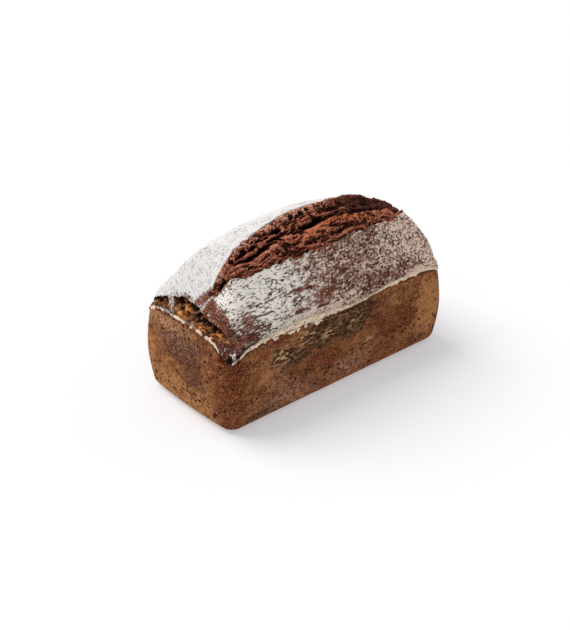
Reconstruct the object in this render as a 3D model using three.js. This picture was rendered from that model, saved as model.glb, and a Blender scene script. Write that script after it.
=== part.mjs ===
// A tin loaf of rye bread: straight walls from the tin, a floury rim where the dough rose over the
// tin's edge, and a high dome that split lengthwise along its top and tore open at one end.
// Millimetres, +Z up. X runs along the loaf, and the torn end is at -X. The origin lies under the
// middle of the loaf, in the plane of its flat base.

import * as THREE from 'three';

// ---- driving dimensions of the walls ----
const RIM_LENGTH = 200;
const RIM_WIDTH = 94.6;
const RIM_HEIGHT = 63;
const WALL_TAPER = 0.024; // inward lean for each millimetre below the rim
const SIDE_BULGE = 3; // swelling of a long wall half way up
const END_BULGE = 2.4; // swelling of an end wall half way up
const END_PILLOW = 2.6; // further swelling of an end wall in the middle of its width
const CORNER_RADIUS = 9.5;
const BASE_EDGE_RADIUS = 6.5;

// ---- the floury rim ----
const RIM_OUT = 0.6; // how far the rim stands proud of the wall
const RIM_CROWN_INSET = 0.6;
const RIM_THICKNESS = 2.3;
const RIM_DEPTH = 1.7; // from the wall to the groove at the foot of the dome
const THICK_RIM = { x: -32, reach: 30, extraThickness: 2.6, extraDepth: 1.4 };
const GROOVE_DEPTH = 0.6;
const RIM_WAVE = { height: 1.6, length: 118, crestX: -58 };
const END_BOW = 5; // rise of the rim in the middle of an end
const CORNER_DIP = 4;
const TORN_CORNER_DIP = 8.5;
const CORNER_DIP_REACH = 11;

// ---- the dome, measured up from the rim ----
const DOME_HEIGHT = 63.4;
const CREST_Y = -6;
const ARCH = { loss: 0.4, crest: -0.15, power: 2 }; // the crest line sinks towards both ends
const TORN_END = { length: 38, power: 2.4 };
const PLAIN_END = { length: 22.5, power: 3.7 };
const PLAIN_SHOULDER = { height: 9.2, reach: 9.7 }; // the dome stands fuller over this end
const FAR_SHOULDER = { height: 14.5, reach: 10.6, fromY: 13, toY: 53 }; // and over the torn end's back
const SHOULDER_RISE = 2; // how far in from the rim a shoulder gains most of its height
const FRONT_POWER = 2.4;
const BACK_POWER = 2.5;
const HIP = { frontPower: 3.2, backPower: 4.6, edgePower: 24 }; // how sharply sides and ends meet

// ---- the lengthwise split ----
const SPLIT = { fromX: -88, toX: 89, closeLeft: 16, closeRight: 14, closePower: 0.6 };
const SPLIT_TIP_Y = -12.5;
const SPLIT_TIP_HALF_WIDTH = 3;
const FRONT_LIP = { y: -30.5, bow: 7.5, deepestX: -15 };
const BACK_LIP = { y: -6, slope: 0.09, swellX: 68, swellReach: 28, swell: 15, bowX: -12, bowReach: 32, bow: 3 };
const CREVICE = { at: 0.45, leftAt: 0.7, rightAt: 0.26, reach: 0.055, depth: 6.5, wander: 0.03, wanderLength: 46 };
const CREVICE_BENDS = { leftFromX: -85, leftToX: -60, rightFromX: 25, rightToX: 62 };
const FRONT_RIDGE = { beforeCrevice: 0.12, reach: 0.13, height: 2 };
const MIDDLE_SAG = { at: 0.64, reach: 0.14, depth: 3 };
const BACK_RIDGE = { at: 0.84, reach: 0.08, height: 1.5 };
const BACK_GAP = { at: 0.96, reach: 0.03, depth: 1.6 };
const PLAIN_END_SAG = { x: 66, reach: 24, depth: 2.4 };
const BACK_CRUST = { height: 1, reach: 4 };
const FRONT_CRUST = { height: 0.6, reach: 2.5 };
const LIP_SLACK = 0.02; // a point this close to a lip lies on the crust
const CRAG = { height: 3.4, along: 13, across: 4.2 };
const CRACK = { fromX: -93, toX: -82, depth: 2.2 };

// ---- the tear in the -X end ----
const TEAR = { fromY: -43, toY: 45, peakY: 4, height: 20, lowEdge: 2.5, depth: 5.2, lipAt: 0.82 };
const TEAR_GRID = { leastHeight: 6, sideLimit: 36, deepest: 24 }; // keeps the grid clear of the corners
const TEAR_PIT = { depth: 1.6, size: 4 };
const ROLLED_LIP = { x: -87, y: -25, reachX: 9, reachY: 13, height: 2.4 };

// ---- how finely the surface is divided ----
// Grid lines are closest in the tear, in the split and where the dome is steep.
const SPLIT_STRIPS = [0, 0.08, 0.3, 0.54, 0.78, 0.9, 0.96, 1]; // shares of the split's width
const SPLIT_ROWS = [1, 3, 6, 3, 2, 1, 1];
const TEAR_COLUMNS = 6;
const STEEP_TORN_END_TO_X = -72;
const STEEP_PLAIN_END_FROM_X = 74;
const STEEP_PLAIN_END_INSET = 11;
const STEEP_FRONT_INSET = 11;
const STEEP_BACK_INSET = 13;
const BASE_ROUND_STEPS = 3;
const WALL_LEVELS = [0.42, 0.72]; // heights of the rings between base and rim, as shares of the rim's
const BASE_PLATE = { fromX: -62, toX: 68, halfY: 22 };

const HALF_LENGTH = RIM_LENGTH / 2;
const HALF_WIDTH = RIM_WIDTH / 2;

// ---- small helpers ----

const clamp01 = (t) => Math.min(Math.max(t, 0), 1);
const mix = (a, b, t) => a + (b - a) * t;
const bell = (t) => Math.exp(-t * t);

function smoothStep(from, to, value) {
  const t = clamp01((value - from) / (to - from));
  return t * t * (3 - 2 * t);
}

// A fixed number between -1 and 1 for each point of a whole-number lattice.
function latticeValue(i, j, layer) {
  let n = Math.imul(i, 374761393) + Math.imul(j, 668265263) + Math.imul(layer, 1442695041);
  n = Math.imul(n ^ (n >>> 13), 1274126177);
  n = (n ^ (n >>> 16)) >>> 0;
  return (n / 4294967295) * 2 - 1;
}

function smoothNoise(u, v, layer) {
  const i = Math.floor(u);
  const j = Math.floor(v);
  const s = smoothStep(0, 1, u - i);
  const t = smoothStep(0, 1, v - j);
  const low = mix(latticeValue(i, j, layer), latticeValue(i + 1, j, layer), s);
  const high = mix(latticeValue(i, j + 1, layer), latticeValue(i + 1, j + 1, layer), s);
  return mix(low, high, t);
}

// ---- rim ----

// How far a point lies inside the rim's outline, along X or along Y, whichever is less.
function insetOf(x, y) {
  return Math.min(HALF_LENGTH - Math.abs(x), HALF_WIDTH - Math.abs(y));
}

function thickRimShare(x, y) {
  const onFrontSide = smoothStep(-20, -40, y);
  return onFrontSide * bell((x - THICK_RIM.x) / THICK_RIM.reach);
}

function rimThickness(x, y) {
  return RIM_THICKNESS + THICK_RIM.extraThickness * thickRimShare(x, y);
}

function rimDepth(x, y) {
  return RIM_DEPTH + THICK_RIM.extraDepth * thickRimShare(x, y);
}

// Height of the line where the wall ends and the floury rim begins.
function rimLine(x, y) {
  const toCornerX = HALF_LENGTH - Math.abs(x);
  const toCornerY = HALF_WIDTH - Math.abs(y);
  const cornerDistance = Math.hypot(toCornerX, toCornerY) / CORNER_DIP_REACH;
  const cornerDip = x < 0 && y < 0 ? TORN_CORNER_DIP : CORNER_DIP;
  const endShare = smoothStep(30, 0, toCornerX);
  const bow = END_BOW * endShare * (1 - (y / HALF_WIDTH) ** 2);
  const wave = RIM_WAVE.height * Math.cos((2 * Math.PI * (x - RIM_WAVE.crestX)) / RIM_WAVE.length);
  const fade = Math.exp(-Math.max(insetOf(x, y), 0) / 12);
  return RIM_HEIGHT + (bow + wave * (1 - endShare) - cornerDip * bell(cornerDistance)) * fade;
}

// ---- dome ----

function shoulderHeight(x, y) {
  const fromEnd = HALF_LENGTH - Math.abs(x);
  const torn = FAR_SHOULDER.height * smoothStep(FAR_SHOULDER.fromY, FAR_SHOULDER.toY, y);
  const full = x < 0 ? torn * bell(fromEnd / FAR_SHOULDER.reach)
    : PLAIN_SHOULDER.height * bell(fromEnd / PLAIN_SHOULDER.reach);
  return full * (1 - Math.exp(-Math.max(insetOf(x, y) - RIM_DEPTH, 0) / SHOULDER_RISE));
}

function domeHeight(x, y) {
  const foot = rimDepth(x, y);
  const halfLength = HALF_LENGTH - foot;
  const halfWidth = HALF_WIDTH - foot;
  const sideReach = y < CREST_Y ? halfWidth + CREST_Y : halfWidth - CREST_Y;
  const sideShare = clamp01(Math.abs(y - CREST_Y) / sideReach);
  const sideFall = sideShare ** (y < CREST_Y ? FRONT_POWER : BACK_POWER);
  const end = x < 0 ? TORN_END : PLAIN_END;
  const endShare = clamp01(1 - (halfLength - Math.abs(x)) / end.length);
  const endFall = endShare ** end.power;
  const highPower = mix(HIP.frontPower, HIP.backPower, smoothStep(-30, 20, y));
  const power = mix(highPower, HIP.edgePower, Math.max(sideFall, endFall) ** 6);
  const fall = (sideFall ** power + endFall ** power) ** (1 / power);
  const arch = 1 - ARCH.loss * Math.abs(x / HALF_LENGTH - ARCH.crest) ** ARCH.power;
  return DOME_HEIGHT * arch * Math.max(1 - fall, 0) + shoulderHeight(x, y);
}

// ---- split ----

function splitOpening(x) {
  const left = clamp01((x - SPLIT.fromX) / SPLIT.closeLeft);
  const right = clamp01((SPLIT.toX - x) / SPLIT.closeRight);
  return Math.min(left, right) ** SPLIT.closePower;
}

function frontLipY(x) {
  const open = FRONT_LIP.y + FRONT_LIP.bow * ((x - FRONT_LIP.deepestX) / HALF_LENGTH) ** 2;
  return mix(SPLIT_TIP_Y - SPLIT_TIP_HALF_WIDTH, open, splitOpening(x));
}

function backLipY(x) {
  const swell = BACK_LIP.swell * bell((x - BACK_LIP.swellX) / BACK_LIP.swellReach);
  const bow = BACK_LIP.bow * bell((x - BACK_LIP.bowX) / BACK_LIP.bowReach);
  const open = BACK_LIP.y + BACK_LIP.slope * x + swell + bow;
  return mix(SPLIT_TIP_Y + SPLIT_TIP_HALF_WIDTH, open, splitOpening(x));
}

// Crags of broken crumb: strands drawn out along the loaf, with sharp valleys between them.
function crags(x, y) {
  const broad = 1 - 2 * Math.abs(smoothNoise(x / CRAG.along, y / CRAG.across, 1));
  const fine = smoothNoise((2.3 * x) / CRAG.along, (2.1 * y) / CRAG.across, 2);
  return CRAG.height * (0.5 * broad + 0.3 * fine);
}

// Where the crevice runs, as a share of the split's width from its front lip.
function creviceAt(x) {
  const left = CREVICE.leftAt - CREVICE.at;
  const right = CREVICE.rightAt - CREVICE.at;
  const wander = CREVICE.wander * Math.sin((2 * Math.PI * x) / CREVICE.wanderLength);
  return CREVICE.at + wander
    + left * (1 - smoothStep(CREVICE_BENDS.leftFromX, CREVICE_BENDS.leftToX, x))
    + right * smoothStep(CREVICE_BENDS.rightFromX, CREVICE_BENDS.rightToX, x);
}

function splitRelief(x, y) {
  const opening = splitOpening(x);
  const front = frontLipY(x);
  const back = backLipY(x);
  if (y < front + LIP_SLACK) return FRONT_CRUST.height * opening * Math.exp((y - front) / FRONT_CRUST.reach);
  if (y > back - LIP_SLACK) return BACK_CRUST.height * opening * Math.exp((back - y) / BACK_CRUST.reach);
  const across = (y - front) / (back - front);
  const profile = (shape) => bell((across - shape.at) / shape.reach);
  const crevice = { at: creviceAt(x), reach: CREVICE.reach };
  const frontRidge = { at: crevice.at - FRONT_RIDGE.beforeCrevice, reach: FRONT_RIDGE.reach };
  const crack = CRACK.depth * smoothStep(CRACK.fromX, CRACK.toX, x) * (1 - opening);
  const body = FRONT_RIDGE.height * profile(frontRidge)
    + BACK_RIDGE.height * profile(BACK_RIDGE)
    - CREVICE.depth * profile(crevice)
    - MIDDLE_SAG.depth * profile(MIDDLE_SAG)
    - BACK_GAP.depth * profile(BACK_GAP)
    - PLAIN_END_SAG.depth * bell((x - PLAIN_END_SAG.x) / PLAIN_END_SAG.reach) * Math.sin(Math.PI * across)
    + crags(x, y) * Math.sin(Math.PI * across) ** 0.5;
  return opening * body - crack * profile({ at: 0.5, reach: 0.3 });
}

// ---- tear ----

// Height of the tear's upper edge over the rim, which peaks near the middle of the end.
function tearTop(y) {
  const side = y > TEAR.peakY ? (y - TEAR.peakY) / (TEAR.toY - TEAR.peakY)
    : (TEAR.peakY - y) / (TEAR.peakY - TEAR.fromY);
  return TEAR.height * (1 - clamp01(side) ** 1.6);
}

// Inset from the end at which the dome reaches the tear's upper edge, by halving the interval.
function tearTopInset(y) {
  const wanted = Math.max(tearTop(y), TEAR_GRID.leastHeight);
  const sectionY = Math.sign(y) * Math.min(Math.abs(y), TEAR_GRID.sideLimit);
  let low = RIM_DEPTH;
  let high = TEAR_GRID.deepest;
  for (let step = 0; step < 20; step++) {
    const middle = (low + high) / 2;
    if (domeHeight(middle - HALF_LENGTH, sectionY) < wanted) low = middle;
    else high = middle;
  }
  return high;
}

// How far the torn crumb lies behind the skin of the dome: nothing at its lower edge, most just
// under the crust's upper edge.
function tearDepth(x, y, height) {
  const top = tearTop(y);
  if (x > 0 || top <= TEAR.lowEdge || height < TEAR.lowEdge || height > top) return 0;
  const share = (height - TEAR.lowEdge) / (top - TEAR.lowEdge);
  const rise = smoothStep(0, TEAR.lipAt, share);
  const close = 1 - smoothStep(TEAR.lipAt, 1, share);
  const reach = clamp01((top - TEAR.lowEdge) / 8);
  const pits = TEAR_PIT.depth * smoothNoise(y / TEAR_PIT.size, height / TEAR_PIT.size, 3);
  return (TEAR.depth + pits) * rise * close * reach;
}

function rolledLip(x, y) {
  return ROLLED_LIP.height * bell((x - ROLLED_LIP.x) / ROLLED_LIP.reachX)
    * bell((y - ROLLED_LIP.y) / ROLLED_LIP.reachY);
}

// ---- plan ----

// Bends the corners of a rectangle with the given half sizes round, carrying the points inside
// each corner square along.
function roundCorner(x, y, halfX, halfY, radius) {
  const s = (Math.abs(x) - halfX + radius) / radius;
  const t = (Math.abs(y) - halfY + radius) / radius;
  if (s <= 0 || t <= 0) return [x, y];
  const ring = Math.max(s, t);
  const angle = s > t ? (Math.PI / 4) * (t / s) : Math.PI / 2 - (Math.PI / 4) * (s / t);
  const roundX = halfX - radius + radius * ring * Math.cos(angle);
  const roundY = halfY - radius + radius * ring * Math.sin(angle);
  return [Math.sign(x) * roundX, Math.sign(y) * roundY];
}

// Turns the step counts of a row of stretches into grid lines. Each line is [stretch, share], the
// stretch that it ends in and how far along that stretch it lies.
function divide(counts) {
  const lines = [[0, 0]];
  counts.forEach((steps, stretch) => {
    for (let step = 1; step <= steps; step++) lines.push([stretch, step / steps]);
  });
  return lines;
}

const X_LINES = divide([1, TEAR_COLUMNS, 8, 48, 6, 4, 1]);
const Y_LINES = divide([1, 3, 5, ...SPLIT_ROWS, 8, 4, 1]);

function lineX(index, y) {
  const [stretch, share] = X_LINES[index];
  const knots = [
    RIM_CROWN_INSET - HALF_LENGTH,
    RIM_DEPTH - HALF_LENGTH,
    tearTopInset(y) - HALF_LENGTH,
    STEEP_TORN_END_TO_X,
    STEEP_PLAIN_END_FROM_X,
    HALF_LENGTH - STEEP_PLAIN_END_INSET,
    HALF_LENGTH - RIM_DEPTH,
    HALF_LENGTH - RIM_CROWN_INSET,
  ];
  return mix(knots[stretch], knots[stretch + 1], share);
}

function lineY(index, x) {
  const [stretch, along] = Y_LINES[index];
  const knots = [
    RIM_CROWN_INSET - HALF_WIDTH,
    rimDepth(x, -HALF_WIDTH) - HALF_WIDTH,
    STEEP_FRONT_INSET - HALF_WIDTH,
    ...SPLIT_STRIPS.map((share) => mix(frontLipY(x), backLipY(x), share)),
    HALF_WIDTH - STEEP_BACK_INSET,
    HALF_WIDTH - RIM_DEPTH,
    HALF_WIDTH - RIM_CROWN_INSET,
  ];
  return mix(knots[stretch], knots[stretch + 1], along);
}

// ---- surface points ----

function topPoint(column, row) {
  const lastColumn = X_LINES.length - 1;
  const lastRow = Y_LINES.length - 1;
  const roughX = lineX(column, 0);
  const y = lineY(row, roughX);
  const x = lineX(column, y);
  const crown = rimLine(x, y) + rimThickness(x, y);
  const onEdge = column === 0 || row === 0 || column === lastColumn || row === lastRow;
  const inGroove = column === 1 || row === 1 || column === lastColumn - 1 || row === lastRow - 1;
  const [planX, planY] = roundCorner(x, y, HALF_LENGTH, HALF_WIDTH, CORNER_RADIUS);
  if (onEdge) return [planX, planY, crown];
  if (inGroove) return [planX, planY, crown - GROOVE_DEPTH];
  const height = domeHeight(x, y);
  const z = rimLine(x, y) + height + splitRelief(x, y) + rolledLip(x, y);
  return [planX + tearDepth(x, y, height), planY, Math.max(z, crown - GROOVE_DEPTH)];
}

// The top's outline as [column, row] pairs, counter-clockwise from above.
function outline() {
  const lastColumn = X_LINES.length - 1;
  const lastRow = Y_LINES.length - 1;
  const steps = [];
  for (let column = 0; column < lastColumn; column++) steps.push([column, 0]);
  for (let row = 0; row < lastRow; row++) steps.push([lastColumn, row]);
  for (let column = lastColumn; column > 0; column--) steps.push([column, lastRow]);
  for (let row = lastRow; row > 0; row--) steps.push([0, row]);
  return steps;
}

// One point of a ring round the walls. The ring keeps its place along the outline, moved out from
// the outline at the rim by outX and outY, and by pillow more in the middle of an end.
function wallPoint(column, row, { outX, outY, pillow = 0, radius = CORNER_RADIUS, heightOf }) {
  const roughX = lineX(column, 0);
  const y = lineY(row, roughX);
  const x = lineX(column, y);
  const halfX = HALF_LENGTH + outX + pillow * (1 - (y / HALF_WIDTH) ** 2);
  const halfY = HALF_WIDTH + outY;
  const ringX = (x / (HALF_LENGTH - RIM_CROWN_INSET)) * halfX;
  const ringY = (y / (HALF_WIDTH - RIM_CROWN_INSET)) * halfY;
  const [planX, planY] = roundCorner(ringX, ringY, halfX, halfY, radius);
  return [planX, planY, heightOf(rimLine(x, y), rimThickness(x, y))];
}

// How far the walls stand out from the rim's outline at a height.
function wallOut(z) {
  const lean = -WALL_TAPER * (RIM_HEIGHT - z);
  const swell = Math.sin((Math.PI * z) / RIM_HEIGHT);
  const pillow = END_PILLOW * Math.cos((Math.PI / 2) * (z / RIM_HEIGHT) ** 2);
  return { outX: lean + END_BULGE * swell, outY: lean + SIDE_BULGE * swell, pillow };
}

function wallRings() {
  const rings = [];
  for (let step = 0; step <= BASE_ROUND_STEPS; step++) {
    const angle = ((step / BASE_ROUND_STEPS) * Math.PI) / 2;
    const z = BASE_EDGE_RADIUS * (1 - Math.cos(angle));
    const inset = BASE_EDGE_RADIUS * (1 - Math.sin(angle));
    const { outX, outY, pillow } = wallOut(z);
    const radius = Math.max(CORNER_RADIUS - inset, 3);
    rings.push({ outX: outX - inset, outY: outY - inset, pillow, radius, heightOf: () => z });
  }
  WALL_LEVELS.forEach((share) => {
    const z = share * RIM_HEIGHT;
    rings.push({ ...wallOut(z), heightOf: () => z });
  });
  rings.push({ outX: 0, outY: 0, heightOf: (line) => line });
  rings.push({ outX: RIM_OUT, outY: RIM_OUT, heightOf: (line, thickness) => line + 0.25 * thickness });
  const high = 0.7 * RIM_OUT;
  rings.push({ outX: high, outY: high, heightOf: (line, thickness) => line + 0.75 * thickness });
  return rings;
}

// ---- the closed surface ----

function buildLoaf() {
  const positions = [];
  const triangles = [];
  const addPoint = (point) => positions.push(...point) / 3 - 1;
  const addQuad = (a, b, c, d) => triangles.push(a, b, c, a, c, d);

  const grid = X_LINES.map((_, column) => Y_LINES.map((__, row) => addPoint(topPoint(column, row))));
  for (let column = 0; column < X_LINES.length - 1; column++) {
    for (let row = 0; row < Y_LINES.length - 1; row++) {
      const next = grid[column + 1];
      addQuad(grid[column][row], next[row], next[row + 1], grid[column][row + 1]);
    }
  }

  const around = outline();
  const rings = wallRings().map((ring) => around.map(([column, row]) =>
    addPoint(wallPoint(column, row, ring))));
  rings.push(around.map(([column, row]) => grid[column][row]));
  for (let level = 0; level < rings.length - 1; level++) {
    around.forEach((_, i) => {
      const j = (i + 1) % around.length;
      addQuad(rings[level][i], rings[level][j], rings[level + 1][j], rings[level + 1][i]);
    });
  }

  addBase(rings[0], positions, triangles, addPoint, addQuad);
  const geometry = new THREE.BufferGeometry();
  geometry.setAttribute('position', new THREE.Float32BufferAttribute(positions, 3));
  geometry.setIndex(triangles);
  geometry.computeVertexNormals();
  return geometry;
}

// The flat base: a plain rectangle in the middle, joined to the lowest ring by fans.
function addBase(ring, positions, triangles, addPoint, addQuad) {
  const { fromX, toX, halfY } = BASE_PLATE;
  const corners = [[fromX, -halfY], [toX, -halfY], [toX, halfY], [fromX, halfY]];
  const inner = corners.map(([x, y]) => addPoint([x, y, 0]));
  addQuad(inner[3], inner[2], inner[1], inner[0]);
  const nearest = (index) => {
    const right = positions[3 * index] > 0;
    const back = positions[3 * index + 1] > 0;
    if (back) return right ? 2 : 3;
    return right ? 1 : 0;
  };
  ring.forEach((index, i) => {
    const following = ring[(i + 1) % ring.length];
    const here = inner[nearest(index)];
    const there = inner[nearest(following)];
    triangles.push(following, index, here);
    if (here !== there) triangles.push(following, here, there);
  });
}

const crust = new THREE.MeshStandardMaterial({ color: 0x8a5733, roughness: 0.88, metalness: 0 });
const loaf = new THREE.Mesh(buildLoaf(), crust);
loaf.name = 'loaf';

// The outline isn't quite even, so the loaf is moved until the origin is under its middle.
loaf.geometry.computeBoundingBox();
const middle = loaf.geometry.boundingBox.getCenter(new THREE.Vector3());
loaf.position.set(-middle.x, -middle.y, 0);

const group = new THREE.Group();
group.add(loaf);

export default group;
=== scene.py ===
"""Dresses the tin loaf: floury crust, torn crumb in the split and in the tear, and browned tin walls.

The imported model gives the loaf's box. Every piece is worked out here in millimetres from the loaf's
own sizes, X along the loaf with the torn end at -X, and is made at 1/1000 of that, in metres.
"""

import itertools
import math
from types import SimpleNamespace as Sizes

import bpy
import numpy as np
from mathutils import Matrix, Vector


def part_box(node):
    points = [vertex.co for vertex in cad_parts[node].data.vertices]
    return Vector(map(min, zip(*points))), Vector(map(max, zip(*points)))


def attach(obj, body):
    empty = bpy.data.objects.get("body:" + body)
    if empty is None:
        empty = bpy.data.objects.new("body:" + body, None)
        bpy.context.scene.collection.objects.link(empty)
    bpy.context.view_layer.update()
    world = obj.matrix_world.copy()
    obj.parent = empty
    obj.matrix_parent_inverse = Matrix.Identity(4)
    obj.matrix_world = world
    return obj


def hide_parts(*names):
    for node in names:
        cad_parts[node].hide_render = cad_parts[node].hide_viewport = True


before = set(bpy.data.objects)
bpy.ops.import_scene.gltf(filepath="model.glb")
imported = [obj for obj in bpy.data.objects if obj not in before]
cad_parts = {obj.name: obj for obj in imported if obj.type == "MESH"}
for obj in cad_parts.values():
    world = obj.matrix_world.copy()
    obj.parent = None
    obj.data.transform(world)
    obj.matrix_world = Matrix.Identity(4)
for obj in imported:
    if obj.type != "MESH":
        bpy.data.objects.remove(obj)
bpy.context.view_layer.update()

# ---- sizes of the loaf, in millimetres
MM = 0.001
low_corner, high_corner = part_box("loaf")
RIM_OUT = 0.6  # how far the floury rim stands proud of the wall
END_SWELL = 3.946  # how far a bulging end wall reaches past the rim's outline
SIDE_SWELL = 2.029  # and a long wall
CRAG_RISE = 1.852  # how far the highest crag stands over the smooth dome
HALF_LENGTH = (high_corner.x - low_corner.x) / 2 / MM - END_SWELL
HALF_WIDTH = (high_corner.y - low_corner.y) / 2 / MM - SIDE_SWELL
LOAF_HEIGHT = high_corner.z / MM
RIM_HEIGHT = 63
DOME_HEIGHT = LOAF_HEIGHT - RIM_HEIGHT - CRAG_RISE

WALL_TAPER = 0.024  # inward lean for each millimetre below the rim
SIDE_BULGE = 3
END_BULGE = 2.4
END_PILLOW = 2.6  # further swelling of an end wall in the middle of its width
CORNER_RADIUS = 9.5
BASE_EDGE_RADIUS = 6.5

RIM_CROWN_INSET = 0.6
RIM_THICKNESS = 2.3
RIM_DEPTH = 1.7  # from the wall to the groove at the foot of the dome
THICK_RIM = Sizes(around_x=(-32, 30), extra_thickness=2.6, extra_depth=1.4)
THIN_RIM = Sizes(around_x=(26, 22), less_thickness=0.9)
RIM_LUMPS = Sizes(ramp_x=(-84, -96), size=3.2, height=2)  # of the broken rim at the torn end
GROOVE_DEPTH = 0.6
RIM_WAVE = Sizes(height=1.6, length=118, crest_x=-58)
RIM_WANDER = Sizes(height=1.1, size=9)
END_BOW = 5
CORNER_DIP = 4
TORN_CORNER_DIP = 11
CORNER_DIP_REACH = 11
CORNER_GAP = Sizes(side_ramp_x=(-70, -88), side_ramp_y=(-41, -44.5), end_ramp_y=(-44.5, -47),
                   end_to_x=-80, height=0.1, depth=1.1)

CREST_Y = -6
ARCH = Sizes(loss=0.4, crest=-0.15, power=2)
TORN_END = Sizes(length=38, power=2.4)
PLAIN_END = Sizes(length=22.5, power=3.7)
PLAIN_SHOULDER = Sizes(height=9.2, reach=9.7)  # the dome stands fuller over this end
FAR_SHOULDER = Sizes(height=14.5, reach=10.6, ramp_y=(13, 53))  # and over the torn end's back
SHOULDER_RISE = 2  # how far in from the rim a shoulder gains most of its height
FRONT_POWER = 2.4
BACK_POWER = 2.5
HIP = Sizes(front_power=3.2, back_power=4.6, edge_power=24)

SPLIT = Sizes(from_x=-88, to_x=89, close_left=16, close_right=14, close_power=0.6)
SPLIT_TIP_Y = -12.5
SPLIT_TIP_HALF_WIDTH = 3
FRONT_LIP = Sizes(y=-30.5, bow=7.5, deepest_x=-15)
BACK_LIP = Sizes(y=-6, slope=0.09, swell=15, swell_around_x=(68, 28), bow=3, bow_around_x=(-12, 32))
BACK_CRUST = Sizes(height=1, reach=4)
FRONT_CRUST = Sizes(height=0.6, reach=2.5)
TRENCH_DEPTH = 12.5  # the hollow of the crust that the split's crumb lies in

# Shapes of the split's crumb. Across the split they lie at a share of its width from its front lip.
CREVICE = Sizes(at=0.37, left_at=0.6, right_at=0.24, width=0.05, depth=6.5, wander=0.03,
                wander_length=46, left_ramp_x=(-85, -60), right_ramp_x=(25, 62))
FRONT_SLAB = Sizes(height=1.6, top_from=0.75, edge_from=0.9)  # shares of the way to the crevice
BACK_RIDGE = Sizes(around=(0.84, 0.09), height=1.2)
MIDDLE_SAG = Sizes(around=(0.64, 0.14), depth=2.4)
BACK_GAP = Sizes(around=(1, 0.05), depth=1)
FRONT_GAP = Sizes(around=(0, 0.05), depth=1)
PLAIN_END_SAG = Sizes(around_x=(66, 24), depth=2.4)
BLACK_HOLE = Sizes(around_x=(54, 6), around=(0.47, 0.06), depth=6)
TAIL_SLOT = Sizes(around_x=(-84, 2.6), around=(0.48, 0.24), depth=14)

# The tear's lower and upper edge, as heights over the rim at places across the torn end.
TEAR_Y = (-41, -38.5, -33, -25, -16, -8, 1, 9, 23, 36, 42, 46)
TEAR_TOP = (10.5, 11.2, 11.6, 11, 12.2, 14.2, 17.6, 17.8, 13.6, 9.6, 7, 5.6)
TEAR_LOW = (8, 7.4, 4.2, 2.2, 1.9, 1.9, 1.9, 2, 2, 2.2, 2.8, 3)
TEAR_ENDS = Sizes(from_y=-40.5, to_y=46, close=3)
TEAR_DEPTH = 3.4
TEAR_GRID = Sizes(side_limit=38, deepest=24)
RECESS_DEPTH = 9  # the hollow of the crust that the tear's crumb lies in
STRAND = Sizes(low_y=18.5, high_y=24.5, half_width=2.6)
ROLLED_LIP = Sizes(around_x=(-87, 9), around_y=(-25, 13), height=1.1)

# Steps of the meshes.
CRUST_PITCH = 0.7
CRUMB_PITCH = 0.34
CRUMB_ROWS = 150
WALL_PITCH = 0.66


# ---- small helpers
def clamp01(value):
    return np.clip(value, 0, 1)


def mix(a, b, share):
    return a + (b - a) * share


def bell(value):
    return np.exp(-value * value)


def around(middle, reach, value):
    """1 where the value is the middle, falling off softly over the reach."""
    return bell((value - middle) / reach)


def ramp(start, stop, value):
    """0 before the start and 1 after the stop, which may be the lower one of the two."""
    share = clamp01((value - start) / (stop - start))
    return share * share * (3 - 2 * share)


def strongest(*masks):
    result = masks[0]
    for mask in masks[1:]:
        result = np.maximum(result, mask)
    return result


def stack(x, y, z):
    return np.stack(np.broadcast_arrays(x, y, z), axis=-1).astype(float)


HASH_FACTORS = (374761393, 668265263, 2246822519, 1442695041, 1274126177)
HASH_MASK = 0xFFFFFFFF


def hashed(cell, layer):
    """A fixed number from 0 to 1 for each point of a whole-number lattice."""
    first, second, third, fourth, last = HASH_FACTORS
    i, j, k = (cell[..., axis].astype(np.int64) for axis in range(3))
    n = (i * first + j * second + k * third + layer * fourth) & HASH_MASK
    n = ((n ^ (n >> 13)) * last) & HASH_MASK
    return (n ^ (n >> 16)) / HASH_MASK


def noise(points, size, layer):
    """Smooth noise from -1 to 1 over cells of that size. The size may differ along X, Y and Z."""
    place = points / np.asarray(size, float)
    cell = np.floor(place)
    share = place - cell
    share = share * share * (3 - 2 * share)
    total = 0
    for corner in itertools.product((0, 1), repeat=3):
        weight = np.prod(np.where(corner, share, 1 - share), axis=-1)
        total = total + weight * hashed(cell + corner, layer)
    return 2 * total - 1


def layered(points, size, layer, octaves=3, keep=0.5, ridges=False):
    """Noise in octaves, each half as large as the one before and keep times as strong.

    It runs from -1 to 1. As ridges it runs from 0 to 1, with round valleys between sharp crests.
    """
    total, most = 0, 0
    for octave in range(octaves):
        value = noise(points, np.asarray(size, float) / 2 ** octave, layer + octave)
        total = total + keep ** octave * (1 - np.abs(value) if ridges else value)
        most += keep ** octave
    return total / most


def bend(points, size, layer, octaves=2):
    """Noise along X, Y and Z at once. Added to points, it bends what is drawn there."""
    return np.stack([layered(points, size, layer + octaves * axis, octaves) for axis in range(3)], axis=-1)


def pits(points, size, layer, chance, radius):
    """Round pits, 1 at their middle, in a share of the cells. Their radius lies between two values."""
    place = points / size
    base = np.floor(place)
    deepest = np.zeros(place.shape[:-1])
    for offset in itertools.product((-1, 0, 1), repeat=3):
        cell = base + offset
        centre = cell + np.stack([hashed(cell, layer + axis) for axis in range(3)], axis=-1)
        reach = mix(*radius, hashed(cell, layer + 3)) / size
        there = hashed(cell, layer + 4) < chance
        deepest = np.maximum(deepest, there * bell(np.linalg.norm(place - centre, axis=-1) / reach))
    return deepest


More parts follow.
